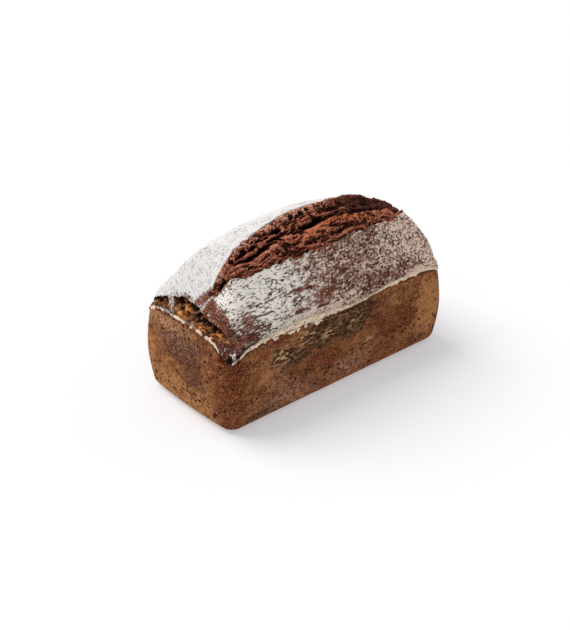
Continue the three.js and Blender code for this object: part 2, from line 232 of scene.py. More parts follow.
def blurred(values, reach):
    """A grid of values, each averaged twice over its neighbours up to reach steps away."""
    for axis in (0, 1, 0, 1):
        padding = [(0, 0)] * values.ndim
        padding[axis] = (reach + 1, reach)
        total = np.cumsum(np.pad(values, padding, mode="edge"), axis=axis)
        width = 2 * reach + 1
        ahead = np.take(total, range(width, total.shape[axis]), axis=axis)
        behind = np.take(total, range(total.shape[axis] - width), axis=axis)
        values = (ahead - behind) / width
    return values


# ---- form of the rim and the dome
def front_side(y):
    """1 along the loaf's front and 0 behind its middle."""
    return ramp(-20, -40, y)


def torn_rim(x):
    """1 along the rim of the torn end."""
    return ramp(-88, -95, x)


def thick_rim_share(x, y):
    return front_side(y) * around(*THICK_RIM.around_x, x)


def rim_lumps(x, y):
    """Lumps of the rim, from -1 to 1: most at the torn end, fewer at the back and at the plain end."""
    torn_end = ramp(*RIM_LUMPS.ramp_x, x)
    lumpy = strongest(torn_end, 0.7 * ramp(84, 96, x), 0.6 * ramp(30, 44, y))
    return lumpy * layered(stack(x, y, 0), RIM_LUMPS.size, 86, 2)


def rim_thickness(x, y):
    thin = front_side(y) * around(*THIN_RIM.around_x, x)
    thickness = (RIM_THICKNESS + THICK_RIM.extra_thickness * thick_rim_share(x, y)
                 - THIN_RIM.less_thickness * thin + RIM_LUMPS.height * rim_lumps(x, y))
    return np.maximum(thickness, 1)


def rim_depth(x, y):
    return RIM_DEPTH + THICK_RIM.extra_depth * thick_rim_share(x, y)


def inset_of(x, y):
    return np.minimum(HALF_LENGTH - np.abs(x), HALF_WIDTH - np.abs(y))


def rim_line(x, y):
    """Height of the line where the wall ends and the floury rim begins."""
    to_corner_x = HALF_LENGTH - np.abs(x)
    to_corner_y = HALF_WIDTH - np.abs(y)
    corner = bell(np.hypot(to_corner_x, to_corner_y) / CORNER_DIP_REACH)
    dip = np.where((x < 0) & (y < 0), TORN_CORNER_DIP, CORNER_DIP)
    end_share = ramp(30, 0, to_corner_x)
    bow = END_BOW * end_share * (1 - (y / HALF_WIDTH) ** 2)
    wave = RIM_WAVE.height * np.cos(2 * np.pi * (x - RIM_WAVE.crest_x) / RIM_WAVE.length)
    wander = RIM_WANDER.height * layered(stack(x, y, 0), RIM_WANDER.size, 91, 4, 0.75) * (1 - end_share)
    fade = np.exp(-np.maximum(inset_of(x, y), 0) / 12)
    return RIM_HEIGHT + (bow + wave * (1 - end_share) - dip * corner + wander) * fade


def shoulder_height(x, y):
    from_end = HALF_LENGTH - np.abs(x)
    torn = FAR_SHOULDER.height * ramp(*FAR_SHOULDER.ramp_y, y)
    torn = torn * bell(from_end / FAR_SHOULDER.reach)
    plain = PLAIN_SHOULDER.height * bell(from_end / PLAIN_SHOULDER.reach)
    rise = 1 - np.exp(-np.maximum(inset_of(x, y) - RIM_DEPTH, 0) / SHOULDER_RISE)
    return np.where(x < 0, torn, plain) * rise


def dome_height(x, y):
    """Height of the dome over the rim line, before it split and tore."""
    foot = rim_depth(x, y)
    half_length = HALF_LENGTH - foot
    half_width = HALF_WIDTH - foot
    side_reach = np.where(y < CREST_Y, half_width + CREST_Y, half_width - CREST_Y)
    side_fall = clamp01(np.abs(y - CREST_Y) / side_reach) ** np.where(y < CREST_Y, FRONT_POWER, BACK_POWER)
    end_length = np.where(x < 0, TORN_END.length, PLAIN_END.length)
    end_power = np.where(x < 0, TORN_END.power, PLAIN_END.power)
    end_fall = clamp01(1 - (half_length - np.abs(x)) / end_length) ** end_power
    high_power = mix(HIP.front_power, HIP.back_power, ramp(-30, 20, y))
    power = mix(high_power, HIP.edge_power, np.maximum(side_fall, end_fall) ** 6)
    fall = (side_fall ** power + end_fall ** power) ** (1 / power)
    arch = 1 - ARCH.loss * np.abs(x / HALF_LENGTH - ARCH.crest) ** ARCH.power
    return DOME_HEIGHT * arch * np.maximum(1 - fall, 0) + shoulder_height(x, y)


def crest_height(x):
    """Height of the dome over the rim line along its crest."""
    return dome_height(x, np.full_like(x, CREST_Y))


def split_opening(x):
    """How open the split is: 0 at its two tips and 1 between them."""
    left = clamp01((x - SPLIT.from_x) / SPLIT.close_left)
    right = clamp01((SPLIT.to_x - x) / SPLIT.close_right)
    return np.minimum(left, right) ** SPLIT.close_power


def front_lip_y(x):
    wide = FRONT_LIP.y + FRONT_LIP.bow * ((x - FRONT_LIP.deepest_x) / HALF_LENGTH) ** 2
    return mix(SPLIT_TIP_Y - SPLIT_TIP_HALF_WIDTH, wide, split_opening(x))


def back_lip_y(x):
    swell = BACK_LIP.swell * around(*BACK_LIP.swell_around_x, x)
    bow = BACK_LIP.bow * around(*BACK_LIP.bow_around_x, x)
    wide = BACK_LIP.y + BACK_LIP.slope * x + swell + bow
    return mix(SPLIT_TIP_Y + SPLIT_TIP_HALF_WIDTH, wide, split_opening(x))


def ragged(place, layer, coarse, fine):
    """A torn edge's wander, by its place along the edge."""
    points = stack(place, 0.37, 0.61)
    return coarse * noise(points, 4.5, layer) + fine * noise(points, 1.5, layer + 1)


def lip_crust(x, y):
    """The crust curls up a little along both lips of the split."""
    opening = split_opening(x)
    before_front = np.minimum(y - front_lip_y(x), 0)
    behind_back = np.minimum(back_lip_y(x) - y, 0)
    front = FRONT_CRUST.height * np.exp(before_front / FRONT_CRUST.reach)
    back = BACK_CRUST.height * np.exp(behind_back / BACK_CRUST.reach)
    return opening * np.where(y < (front_lip_y(x) + back_lip_y(x)) / 2, front, back)


def tear_top(y):
    """Height of the tear's upper edge over the rim."""
    return np.interp(y, TEAR_Y, TEAR_TOP)


def tear_low(y):
    """Height of the tear's lower edge over the rim."""
    return np.interp(y, TEAR_Y, TEAR_LOW)


def inset_at_height(y, wanted):
    """Inset from the torn end at which the dome reaches a height over the rim, by halving the interval."""
    section_y = np.clip(y, -TEAR_GRID.side_limit, TEAR_GRID.side_limit)
    near = np.full(np.shape(y), RIM_DEPTH + 0.1)
    far = np.full(np.shape(y), float(TEAR_GRID.deepest))
    for _ in range(20):
        middle = (near + far) / 2
        below = dome_height(middle - HALF_LENGTH, section_y) < wanted
        near = np.where(below, middle, near)
        far = np.where(below, far, middle)
    return far


def tear_top_inset(y):
    return inset_at_height(y, tear_top(y) + ragged(y, 41, 1.1, 0.9) * tear_reach(y))


def tear_low_inset(y):
    return inset_at_height(y, tear_low(y) + ragged(y, 43, 0.5, 0.5) * tear_reach(y))


def tear_reach(y):
    """How open the tear is: 1 along most of the end and 0 past its two ends."""
    close = TEAR_ENDS.close
    front = ramp(0, close, y - TEAR_ENDS.from_y)
    return front * ramp(0, close, TEAR_ENDS.to_y - y)


def strand_y(share):
    """Where the strand of crust that bridges the tear crosses a share of its height."""
    return mix(STRAND.low_y, STRAND.high_y, share)


def tear_gap(y, share):
    """How open the tear is at a share of its height."""
    middle = strand_y(share) + ragged(share * 12, 45, 0.8, 0.4)
    return tear_reach(y) * ramp(0.8, 1.4, np.abs(y - middle) / STRAND.half_width)


def rolled_lip(x, y):
    along = around(*ROLLED_LIP.around_x, x)
    return ROLLED_LIP.height * along * around(*ROLLED_LIP.around_y, y)


def round_corner(x, y, half_x, half_y, radius):
    """Bends the corners of a rectangle round, carrying the points inside each corner square along."""
    s = (np.abs(x) - half_x + radius) / radius
    t = (np.abs(y) - half_y + radius) / radius
    in_corner = (s > 0) & (t > 0)
    ring = np.maximum(s, t)
    safe_s = np.where(in_corner, s, 1)
    safe_t = np.where(in_corner, t, 1)
    shallow = np.pi / 4 * safe_t / np.maximum(safe_s, 1e-9)
    steep = np.pi / 2 - np.pi / 4 * safe_s / np.maximum(safe_t, 1e-9)
    angle = np.where(s > t, shallow, steep)
    round_x = half_x - radius + radius * ring * np.cos(angle)
    round_y = half_y - radius + radius * ring * np.sin(angle)
    return (np.where(in_corner, np.sign(x) * round_x, x), np.where(in_corner, np.sign(y) * round_y, y))


def dome_point(x, y):
    """A point of the smooth dome, with its corners rounded."""
    plan_x, plan_y = round_corner(x, y, HALF_LENGTH, HALF_WIDTH, CORNER_RADIUS)
    z = rim_line(x, y) + dome_height(x, y) + lip_crust(x, y) + rolled_lip(x, y)
    return stack(plan_x, plan_y, z)


# ---- meshes from grids
def unit(vectors):
    return vectors / np.maximum(np.linalg.norm(vectors, axis=-1, keepdims=True), 1e-9)


def grid_normals(points):
    """Unit normals of a grid of points that runs along X and then along Y."""
    return unit(np.cross(np.gradient(points, axis=0), np.gradient(points, axis=1)))


def grid_numbers(points):
    """The vertex numbers of a grid of points."""
    return np.arange(points.shape[0] * points.shape[1]).reshape(points.shape[:2])


def grid_faces(numbers):
    """Quads over a grid of vertex numbers."""
    corners = (numbers[:-1, :-1], numbers[1:, :-1], numbers[1:, 1:], numbers[:-1, 1:])
    return np.stack(corners, axis=-1).reshape(-1, 4)


def grid_rim(numbers):
    """The vertex numbers round a grid, counter-clockwise from above."""
    sides = (numbers[:-1, 0], numbers[-1, :-1], numbers[:0:-1, -1], numbers[0, :0:-1])
    return np.concatenate(sides)


def ring_faces(lower, upper):
    """Quads between two rings of vertex numbers. The upper ring is nearer the top."""
    corners = (lower, np.roll(lower, -1), np.roll(upper, -1), upper)
    return np.stack(corners, axis=-1)


def shares_along(start, stop, height_at, pitch):
    """Shares from 0 to 1 that cut a stretch into steps of equal length along its slope."""
    places = np.linspace(start, stop, 600)
    steps = np.hypot(np.diff(places), np.diff(height_at(places)))
    lengths = np.concatenate([[0], np.cumsum(steps)])
    count = max(round(lengths[-1] / pitch), 1)
    return np.interp(np.linspace(0, lengths[-1], count + 1), lengths, np.linspace(0, 1, len(places)))


def grid_lines(stretches):
    """Joins the shares of several stretches into lines, each a stretch number and a share of it."""
    lines = [(0, 0.0)]
    for number, shares in enumerate(stretches):
        lines += [(number, share) for share in shares[1:]]
    numbers = np.array([line[0] for line in lines])
    return numbers, np.array([line[1] for line in lines])


def make_piece(name, points, faces, masks, material):
    """Makes a closed mesh from points in millimetres, with its masks as attributes of its vertices."""
    mesh = bpy.data.meshes.new(name)
    mesh.from_pydata((points * MM).tolist(), [], faces)
    for mask, values in masks.items():
        attribute = mesh.attributes.new(mask, "FLOAT", "POINT")
        attribute.data.foreach_set("value", np.asarray(values, np.float32))
    mesh.polygons.foreach_set("use_smooth", np.ones(len(mesh.polygons), bool))
    mesh.materials.append(material)
    mesh.validate()
    piece = bpy.data.objects.new(name, mesh)
    bpy.context.scene.collection.objects.link(piece)
    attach(piece, "root")
    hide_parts("loaf")
    return piece


def close_under(name, points, normals, thickness, masks, material):
    """Closes a grid with a plain underside that lies the given depth below it."""
    numbers = grid_numbers(points)
    loop = grid_rim(numbers)
    flat = points.reshape(-1, 3)
    edge = flat[loop] - normals.reshape(-1, 3)[loop] * thickness
    below = len(flat) + np.arange(len(loop))
    faces = np.concatenate([grid_faces(numbers), ring_faces(below, loop)]).tolist()
    columns, rows = numbers.shape
    front = below[:columns]
    end = below[columns - 1:columns + rows - 1]
    back = below[columns + rows - 2:2 * columns + rows - 2][::-1]
    start = np.concatenate([below[2 * columns + rows - 3:], below[:1]])[::-1]
    faces += np.stack([front[:-1], back[:-1], back[1:], front[1:]], axis=-1).tolist()
    faces += [end[::-1].tolist(), start.tolist()]
    all_masks = {}
    for mask, values in masks.items():
        all_masks[mask] = np.concatenate([values.ravel(), values.ravel()[loop]])
    return make_piece(name, np.concatenate([flat, edge]), faces, all_masks, material)


# ---- crust over the dome
# Where the trench and the recess have lines, as shares of their width, and their depth there as a share.
TRENCH_SHARES = (0, 0.006, 0.014, 0.03, 0.07, 0.3, 0.5, 0.7, 0.93, 0.97, 0.986, 0.994, 1)
TRENCH_FALL = (0, 0.09, 0.4, 0.95, 1, 1, 1, 1, 1, 0.95, 0.4, 0.09, 0)
RECESS_SHARES = (0, 0.03, 0.08, 0.15, 0.22, 0.3, 0.38, 0.46, 0.54, 0.62, 0.7, 0.78, 0.85, 0.9, 0.94, 0.97,
                 0.985, 1)
RECESS_FALL = (0, 0.3, 0.8, 1, 1, 1, 1, 1, 1, 1, 1, 1, 1, 0.97, 0.8, 0.45, 0.12, 0)
TRENCH_STRETCH = 2  # its number among the stretches across the loaf
RECESS_STRETCH = 2  # and among those along it
TORN_TO = -72  # the stretches of even steps along the dome meet at these places
PLAIN_FROM = 74
PLAIN_MIDDLE = HALF_LENGTH - 11
RIM_STEPS = 4
GROOVE_STEPS = 4
SOFT_CORNERS = Sizes(ramp_x=(52, 84), ramp_y=(14, 36), ramp_inset=(3.4, 8), rounds=14,
                     back_ramp_x=(20, 50), back_ramp_y=(-5, 15), reaches=(2, 9))
CREASES = Sizes(size=(90, 7, 7), broken_size=(11, 7, 7), ramp=(0.84, 0.97), left_ramp_x=(25, -15),
                end_ramp_x=(-86, -74), low_ramp=(3, 7), depth=0.5, floured_less=0.25)
RIM_FACE_STEPS = 9
RIM_FACE_TO = -70  # degrees below the rim's widest line at which its face turns under
RIM_UNDER = Sizes(inset=5, drop=4)
CRUST_RELIEF = Sizes(sunk=0.4, lumps=0.4, bumps=0.28, grains=0.16, crumbs=0.9, skin=0.3)


def even_shares(steps):
    return np.linspace(0, 1, steps + 1)


def crust_lines():
    """The grid's lines along and across the dome, with even steps on its slopes."""
    def side_height(y):
        return dome_height(np.full_like(y, FRONT_LIP.deepest_x), y)

    recess_end = float(tear_top_inset(np.zeros(1))[0]) - HALF_LENGTH
    ends = (recess_end, TORN_TO, PLAIN_FROM, PLAIN_MIDDLE, HALF_LENGTH - RIM_DEPTH)
    slopes = [shares_along(*pair, crest_height, CRUST_PITCH) for pair in itertools.pairwise(ends)]
    front = shares_along(RIM_DEPTH - HALF_WIDTH, FRONT_LIP.y, side_height, CRUST_PITCH)
    back = shares_along(BACK_LIP.y, HALF_WIDTH - RIM_DEPTH, side_height, CRUST_PITCH)
    rim, groove = even_shares(RIM_STEPS), even_shares(GROOVE_STEPS)
    x_lines = grid_lines([rim, groove, RECESS_SHARES, *slopes, rim])
    return x_lines, grid_lines([rim, front, TRENCH_SHARES, back, rim])


def x_knots(y):
    """Where the stretches along the loaf meet."""
    return (RIM_CROWN_INSET - HALF_LENGTH, RIM_DEPTH - HALF_LENGTH, tear_low_inset(y) - HALF_LENGTH,
            tear_top_inset(y) - HALF_LENGTH, TORN_TO, PLAIN_FROM, PLAIN_MIDDLE, HALF_LENGTH - RIM_DEPTH,
            HALF_LENGTH - RIM_CROWN_INSET)


def y_knots(x):
    """Where the stretches across the loaf meet."""
    opening = split_opening(x)
    front_lip = front_lip_y(x) + opening * ragged(x, 21, 0.8, 0.7)
    back_lip = back_lip_y(x) + opening * ragged(x, 31, 1.1, 0.8)
    return (RIM_CROWN_INSET - HALF_WIDTH, rim_depth(x, -HALF_WIDTH) - HALF_WIDTH, front_lip, back_lip,
            HALF_WIDTH - RIM_DEPTH, HALF_WIDTH - RIM_CROWN_INSET)


def between_knots(knots, stretch, share):
    """Places on the lines, from the knots that each stretch lies between."""
    table = np.stack(np.broadcast_arrays(*knots))
    start = np.take_along_axis(table, stretch[None], axis=0)[0]
    stop = np.take_along_axis(table, stretch[None] + 1, axis=0)[0]
    return mix(start, stop, share)


def crust_grid():
    """Plan places of the crust's grid, with the trench and the recess as shares of their depth."""
    (x_stretch, x_share), (y_stretch, y_share) = crust_lines()
    rough_x = between_knots(x_knots(np.zeros(len(x_share))), x_stretch, x_share)
    shape = (len(x_share), len(y_share))
    rough = np.broadcast_to(rough_x[:, None], shape)
    y = between_knots(y_knots(rough), np.broadcast_to(y_stretch[None], shape), y_share[None])
    x = between_knots(x_knots(y), np.broadcast_to(x_stretch[:, None], shape), x_share[:, None])
    trench = np.where(y_stretch == TRENCH_STRETCH, np.interp(y_share, TRENCH_SHARES, TRENCH_FALL), 0)
    recess = np.where(x_stretch == RECESS_STRETCH, np.interp(x_share, RECESS_SHARES, RECESS_FALL), 0)
    return x, y, trench[None] * split_opening(x), recess[:, None] * tear_gap(y, x_share[:, None])


def soften_corners(points, x, y):
    """Rounds the hips of the dome at its four corners, which dough never keeps sharp."""
    corner = ramp(*SOFT_CORNERS.ramp_x, np.abs(x)) * ramp(*SOFT_CORNERS.ramp_y, np.abs(y))
    share = (corner * ramp(*SOFT_CORNERS.ramp_inset, inset_of(x, y)))[..., None]
    back = ramp(*SOFT_CORNERS.back_ramp_x, x) * ramp(*SOFT_CORNERS.back_ramp_y, y)
    for reach, where in zip(SOFT_CORNERS.reaches, (share, share * back[..., None])):
        for _ in range(SOFT_CORNERS.rounds):
            points = mix(points, blurred(points, reach), where)
    return points


def corner_gap(x, y, z):
    """The gap over the rim where the dome's foot is undercut, round the torn front corner, painted black as
    painted shade.
    """
    along_side = ramp(*CORNER_GAP.side_ramp_x, x) * ramp(*CORNER_GAP.side_ramp_y, y)
    along_end = ramp(*CORNER_GAP.end_ramp_y, y) * (x < CORNER_GAP.end_to_x)
    open_share = np.maximum(along_side, along_end)
    height = CORNER_GAP.height * (0.25 + 0.75 * open_share)
    low = ramp(height + 0.4, height - 0.2, z - rim_top(x, y))
    inside = ramp(RIM_DEPTH - 0.5, RIM_DEPTH - 0.1, inset_of(x, y))
    return ramp(0, 0.25, open_share) * inside * low


def creases(points, x, y):
    """Wrinkles of the dough's front, long and thin along the loaf: 1 in the bottom of a wrinkle."""
    bent = points + 0.5 * layered(points, 5, 141, 2)[..., None]
    line = 1 - np.abs(noise(bent, CREASES.size, 145))
    broken = ramp(-0.3, 0.35, layered(points, CREASES.broken_size, 147, 2))
    left = ramp(*CREASES.left_ramp_x, x) * ramp(*CREASES.end_ramp_x, x)
    height = points[..., 2] - rim_line(x, y)
    before_lip = ramp(0, -3, y - front_lip_y(x)) * ramp(*CREASES.low_ramp, height)
    return ramp(*CREASES.ramp, line) * broken * (0.15 + 0.85 * left) * before_lip


def rim_top(x, y):
    """Height of the floury rim's upper face, which falls from its crown to the groove."""
    depth = rim_depth(x, y)
    share = clamp01((inset_of(x, y) - RIM_CROWN_INSET) / (depth - RIM_CROWN_INSET))
    return rim_line(x, y) + rim_thickness(x, y) - GROOVE_DEPTH * share ** 1.6


def back_share(x, y):
    """1 behind the split and 0 in front of it. Past the split's plain end one fades into the other."""
    width = mix(2, 26, ramp(64, 90, x))
    return ramp(-width, width, y - (front_lip_y(x) + back_lip_y(x)) / 2)


# How thickly flour lies on the front and on the back, from 0 to 1.
FLOUR = Sizes(front=0.58, back=0.76, back_foot=0.14, uneven=0.12, on_bare=0.34)
# Areas of the front with more or less of it: how much, the ramp in height over the rim, the ramps in X.
FLOUR_AREAS = {
    "high at the torn end": (0.16, (10, 24), (-5, -50)),
    "low at the torn end": (-0.12, (16, 8), (-56, -76)),
    "low at the right": (-0.12, (20, 8), (10, 30), (84, 70)),
    "middle": (-0.08, (8, 13), (-50, -20), (60, 30)),
}
# Spots of the front with less of it: how much less, X and height with their reach.
THIN_SPOTS = {
    "grey": (0.2, (-79, 10), (19, 6)),
    "brown": (0.08, (-6, 8), (13.7, 4)),
    "below the split's tip": (0.14, (-79, 8), (39, 7)),
}
# Dashed lines along the front where it is rubbed off. Each falls by its slope from its height at from_x.
RUBBED_LINES = (
    Sizes(less=0.4, around_x=(-18, 24), height=8.2, slope=0.045, from_x=-34, half_width=1, wander=0.8,
          length=12, layer=59),
    Sizes(less=0.34, around_x=(-51, 13), height=28.2, slope=0, from_x=0, half_width=1.8, wander=1,
          length=10, layer=63),
)
OVER_RIM = Sizes(more=0.26, around_x=(-22, 34), ramp_up=(9, 3))
END_BAND = Sizes(more=0.5, ramp_x=(58, 80), ramp_up=(3.4, 1.6), wander=1.2)
# Height over the rim up to which the crust right of the tear is bare, at places across the torn end.
BARE_Y = (-46, -42, -40, -35, -30, -22, -14, -8)
BARE_TOP = (4, 8, 13, 18, 22.5, 25, 27, 16)
BARE_CRACK = Sizes(start=(-85.5, -13.9), stop=(-91, -4), half_width=2.6)


def front_flour(points, x, y, height):
    """How thickly flour lies on the front."""
    cover = FLOUR.front
    for more, height_ramp, *x_ramps in FLOUR_AREAS.values():
        area = ramp(*height_ramp, height)
        for x_ramp in x_ramps:
            area = area * ramp(*x_ramp, x)
        cover = cover + more * area
    for less, around_x, around_height in THIN_SPOTS.values():
        cover = cover - less * around(*around_x, x) * around(*around_height, height)
    dashes = ramp(-0.25, 0.25, layered(points, (5, 3, 3), 65, 2))
    for line in RUBBED_LINES:
        wander = line.wander * layered(points, (line.length, 4, 4), line.layer, 2)
        off_line = height - line.height + line.slope * (x - line.from_x) + wander
        along = around(*line.around_x, x)
        cover = cover - line.less * dashes * bell(off_line / line.half_width) * along
    over_rim = around(*OVER_RIM.around_x, x) * ramp(*OVER_RIM.ramp_up, height)
    above = height - rim_thickness(x, y) + END_BAND.wander * layered(points, (6, 3, 3), 67, 2)
    end_band = ramp(*END_BAND.ramp_x, x) * ramp(*END_BAND.ramp_up, above)
    return cover + OVER_RIM.more * over_rim + END_BAND.more * end_band


def bare_crust(points, x, y, height):
    """Where the crust round the tear is bare: right of it, along its edges and on its strand."""
    near_end = ramp(-75, -91, x + 5 * layered(points, 6, 55, 3))
    below = ramp(6, -5, height - np.interp(y, BARE_Y, BARE_TOP) + 2 * layered(points, 7, 57, 2))
    right = near_end * below * ramp(-6, -11, y)
    (from_x, from_y), (to_x, to_y) = BARE_CRACK.start, BARE_CRACK.stop
    slope = (to_y - from_y) / (to_x - from_x)
    off_crack = (y - from_y - slope * (x - from_x)) / math.hypot(1, slope)
    crack = bell(off_crack / BARE_CRACK.half_width) * ramp(-80, -84, x) * (x < from_x + 4)
    over_tear = height - tear_top(y)
    upper_edge = ramp(7, 1, over_tear) * ramp(-84, -88, x) * ramp(30, 15, y)
    off_strand = (y - strand_y(clamp01(height / tear_top(y)))) / 4.5
    strand = bell(off_strand) * ramp(2, 0, over_tear) * (x < -85)
    lower_edge = ramp(1, -1, height - tear_low(y)) * ramp(-90, -94, x)
    return strongest(right, crack, 0.55 * upper_edge, 0.55 * strand, 0.45 * lower_edge)


def flour_lumps(points, x, y, height):
    """Lumps of flour on the tear's upper edge and on the rim at the torn front corner."""
    on_edge = ramp(3.5, 1, np.abs(height - tear_top(y) - 1.5)) * ramp(-84, -88, x)
    on_edge = on_edge * ramp(12, 2, y) * ramp(-26, -16, y)
    on_edge = on_edge * ramp(-0.1, 0.5, layered(points, 4, 151, 2))
    at_corner = around(-94, 6, x) * around(3, 2, height) * ramp(-39, -42, y)
    at_corner = at_corner * ramp(-0.3, 0.2, layered(points, 2.6, 153, 2))
    return strongest(0.85 * on_edge, 0.95 * at_corner)


def flour_cover(points, x, y, crease):
    """How thickly flour lies on the crust: 1 where it hides the crust, 0 where the crust is bare."""
    height = points[..., 2] - rim_line(x, y)
    uneven = FLOUR.uneven * layered(points, (10, 5, 5), 51, 5, 0.8)
    front = front_flour(points, x, y, height) - CREASES.floured_less * crease + uneven
    back = FLOUR.back - FLOUR.back_foot * ramp(14, 4, height) + 0.5 * uneven
    cover = mix(front, back, back_share(x, y))
    cover = mix(cover, FLOUR.on_bare, bare_crust(points, x, y, height))
    return clamp01(strongest(cover, flour_lumps(points, x, y, height)))


def rim_flour(x, y):
    """How thickly the rim is floured. It is lumpy along the torn end and bare next to its front corner."""
    torn_end = torn_rim(x)
    before_corner = torn_end * ramp(-33, -38, y) * ramp(-50, -45.8, y)
    long_thin = 0.25 * around(20, 26, x) * (y < 0)
    soft_back = 0.25 * torn_end * ramp(20, 30, y)
    return clamp01((1 - 0.35 * torn_end + rim_lumps(x, y) - long_thin - soft_back) * (1 - before_corner))


def flour_tone_and_light(x, y):
    """The flour's tone and painted light: 0 on the back, 0.5 at the front's left, whose flour is painted
    whiter for the light that falls there, and 1 at its right, where it is thin.
    """
    front = 0.5 + 0.5 * ramp(-60, 20, x)
    return front * (1 - back_share(x, y))


def crust_relief(smooth, x, y, crease):
    """Relief of the floured crust, in millimetres along its normals."""
    from_edge = inset_of(x, y)
    lumps = -CRUST_RELIEF.sunk - CRUST_RELIEF.lumps * layered(smooth, 30, 61, 2)
    bumps = CRUST_RELIEF.bumps * layered(smooth, (8, 4, 4), 65)
    grains = CRUST_RELIEF.grains * layered(smooth, (2.4, 1.4, 1.4), 71, 2)
    crumbs = CRUST_RELIEF.crumbs * around(0.8, 1.3, from_edge) * layered(smooth, 2.6, 75, 2)
    relief = lumps * ramp(0, 6, from_edge) + bumps + grains - CRUST_RELIEF.skin
    return relief - CREASES.depth * crease + crumbs


def rim_bead(smooth, x, y):
    """The bead of flour on the rim. Over the thick rim it runs up the dome's foot in streaks."""
    above_rim = smooth[..., 2] - rim_line(x, y) - rim_thickness(x, y)
    streaks = ramp(-0.25, 0.3, layered(smooth, (13, 3, 2.2), 87, 2))
    over_thick = streaks * ramp(6, 1, above_rim) * thick_rim_share(x, y) ** 0.5
    on_rim = ramp(1.2, -0.2, inset_of(x, y) - rim_depth(x, y))
    return rim_flour(x, y) * np.maximum(on_rim, 0.8 * over_thick)


def build_crust(material):
    x, y, trench, recess = crust_grid()
    smooth = dome_point(x, y)
    smooth[..., 2] = np.maximum(smooth[..., 2], rim_top(x, y))
    smooth = soften_corners(smooth, x, y)
    normals = grid_normals(smooth)
    crease = creases(smooth, x, y)
    points = smooth + normals * (crust_relief(smooth, x, y, crease) - TRENCH_DEPTH * trench)[..., None]
    points[..., 0] += RECESS_DEPTH * recess
    gap = corner_gap(x, y, smooth[..., 2])
    points[..., :2] -= normals[..., :2] * (CORNER_GAP.depth * gap)[..., None]
    in_recess = ramp(0.1, 0.5, recess) * ramp(32, 24, y)
    masks = {
        "flour": flour_cover(smooth, x, y, crease) * (1 - ramp(0.02, 0.2, recess)),
        "bead": rim_bead(smooth, x, y),
        "tone_and_light": flour_tone_and_light(x, y),
        "long": ramp(10, -40, x),
        # painted shade: dark in the trench under the split's lips, in the tear's recess and in the corner gap
        "hollow_shade": strongest(ramp(0.03, 0.3, trench), 0.7 * in_recess, gap),
    }

    numbers = grid_numbers(points)
    upper = grid_rim(numbers)
    edge_x, edge_y = x.ravel()[upper], y.ravel()[upper]
    rings = rim_face(edge_x, edge_y)
    powder = rim_flour(edge_x, edge_y)
    ring_masks = {"flour": 0.1 + 0.7 * powder, "bead": powder, "tone_and_light": flour_tone_and_light(edge_x, edge_y),
                  "long": np.full_like(powder, 0.5), "hollow_shade": np.zeros_like(powder)}
    all_masks = {}
    for mask, values in masks.items():
        underneath = np.zeros_like(powder) if mask == "bead" else ring_masks[mask]
        all_masks[mask] = np.concatenate([values.ravel(), *[ring_masks[mask]] * RIM_FACE_STEPS, underneath])
    faces = [grid_faces(numbers)]
    for number in range(len(rings)):
        lower = x.size + number * len(edge_x) + np.arange(len(edge_x))
        faces.append(ring_faces(lower, upper))
        upper = lower
    faces = np.concatenate(faces).tolist()
    faces.append(upper[::-1].tolist())
    all_points = np.concatenate([points.reshape(-1, 3), *rings])
    return make_piece("loaf_crust", all_points, faces, all_masks, material)


def rim_face(x, y):
    """Rings down the rim's outer face, from the grid's outline at its crown, and one more under it."""
    line = rim_line(x, y)
    thickness = rim_thickness(x, y)
    rings = []
    for step in range(1, RIM_FACE_STEPS + 1):
        angle = math.radians(mix(90, RIM_FACE_TO, step / RIM_FACE_STEPS))
        out = -RIM_CROWN_INSET + (RIM_OUT + RIM_CROWN_INSET) * math.cos(angle) ** 0.7
        up = 0.5 + 0.5 * math.sin(angle)
        rings.append(outline_ring(x, y, out, line + thickness * up))
        roughen(rings[-1], x, y, thickness * (1 - up))
    rings.append(outline_ring(x, y, -RIM_UNDER.inset, line.min() - RIM_UNDER.drop))
    return rings


def outline_ring(x, y, out, z):
    """A ring round the loaf that stands out from the rim's outline."""
    half_x = HALF_LENGTH + out
    half_y = HALF_WIDTH + out
    ring_x = x / (HALF_LENGTH - RIM_CROWN_INSET) * half_x
    ring_y = y / (HALF_WIDTH - RIM_CROWN_INSET) * half_y
    return stack(*round_corner(ring_x, ring_y, half_x, half_y, CORNER_RADIUS), z)


def roughen(ring, x, y, sway):
    """Lets a ring of the rim's face wander by sway in height, and pulls it in here and there."""
    torn_end, thick = torn_rim(x), thick_rim_share(x, y)
    rough = 0.8 + 0.2 * np.maximum(torn_end, thick)
    wander = 0.4 * noise(ring, 8, 81) + rough * layered(ring, 2.8, 82, 2)
    ring[:, 2] += sway * (wander - 0.35 * thick)
    pull = mix(0.45, 0.6, torn_end) * (1 - layered(ring, 2.6, 84, 2))
    middle = np.hypot(ring[:, 0], ring[:, 1])
    ring[:, :2] -= ring[:, :2] / middle[:, None] * pull[:, None]


# ---- crumb in the split
def crevice_at(x):
    """Where the crevice runs, as a share of the split's width from its front lip."""
    wander = CREVICE.wander * np.sin(2 * np.pi * x / CREVICE.wander_length)
    wander = wander + 0.03 * layered(stack(x, 0, 0), 9, 101, 3, 0.7)
    left = (CREVICE.left_at - CREVICE.at) * (1 - ramp(*CREVICE.left_ramp_x, x))
    right = (CREVICE.right_at - CREVICE.at) * ramp(*CREVICE.right_ramp_x, x)
    return CREVICE.at + wander + left + right


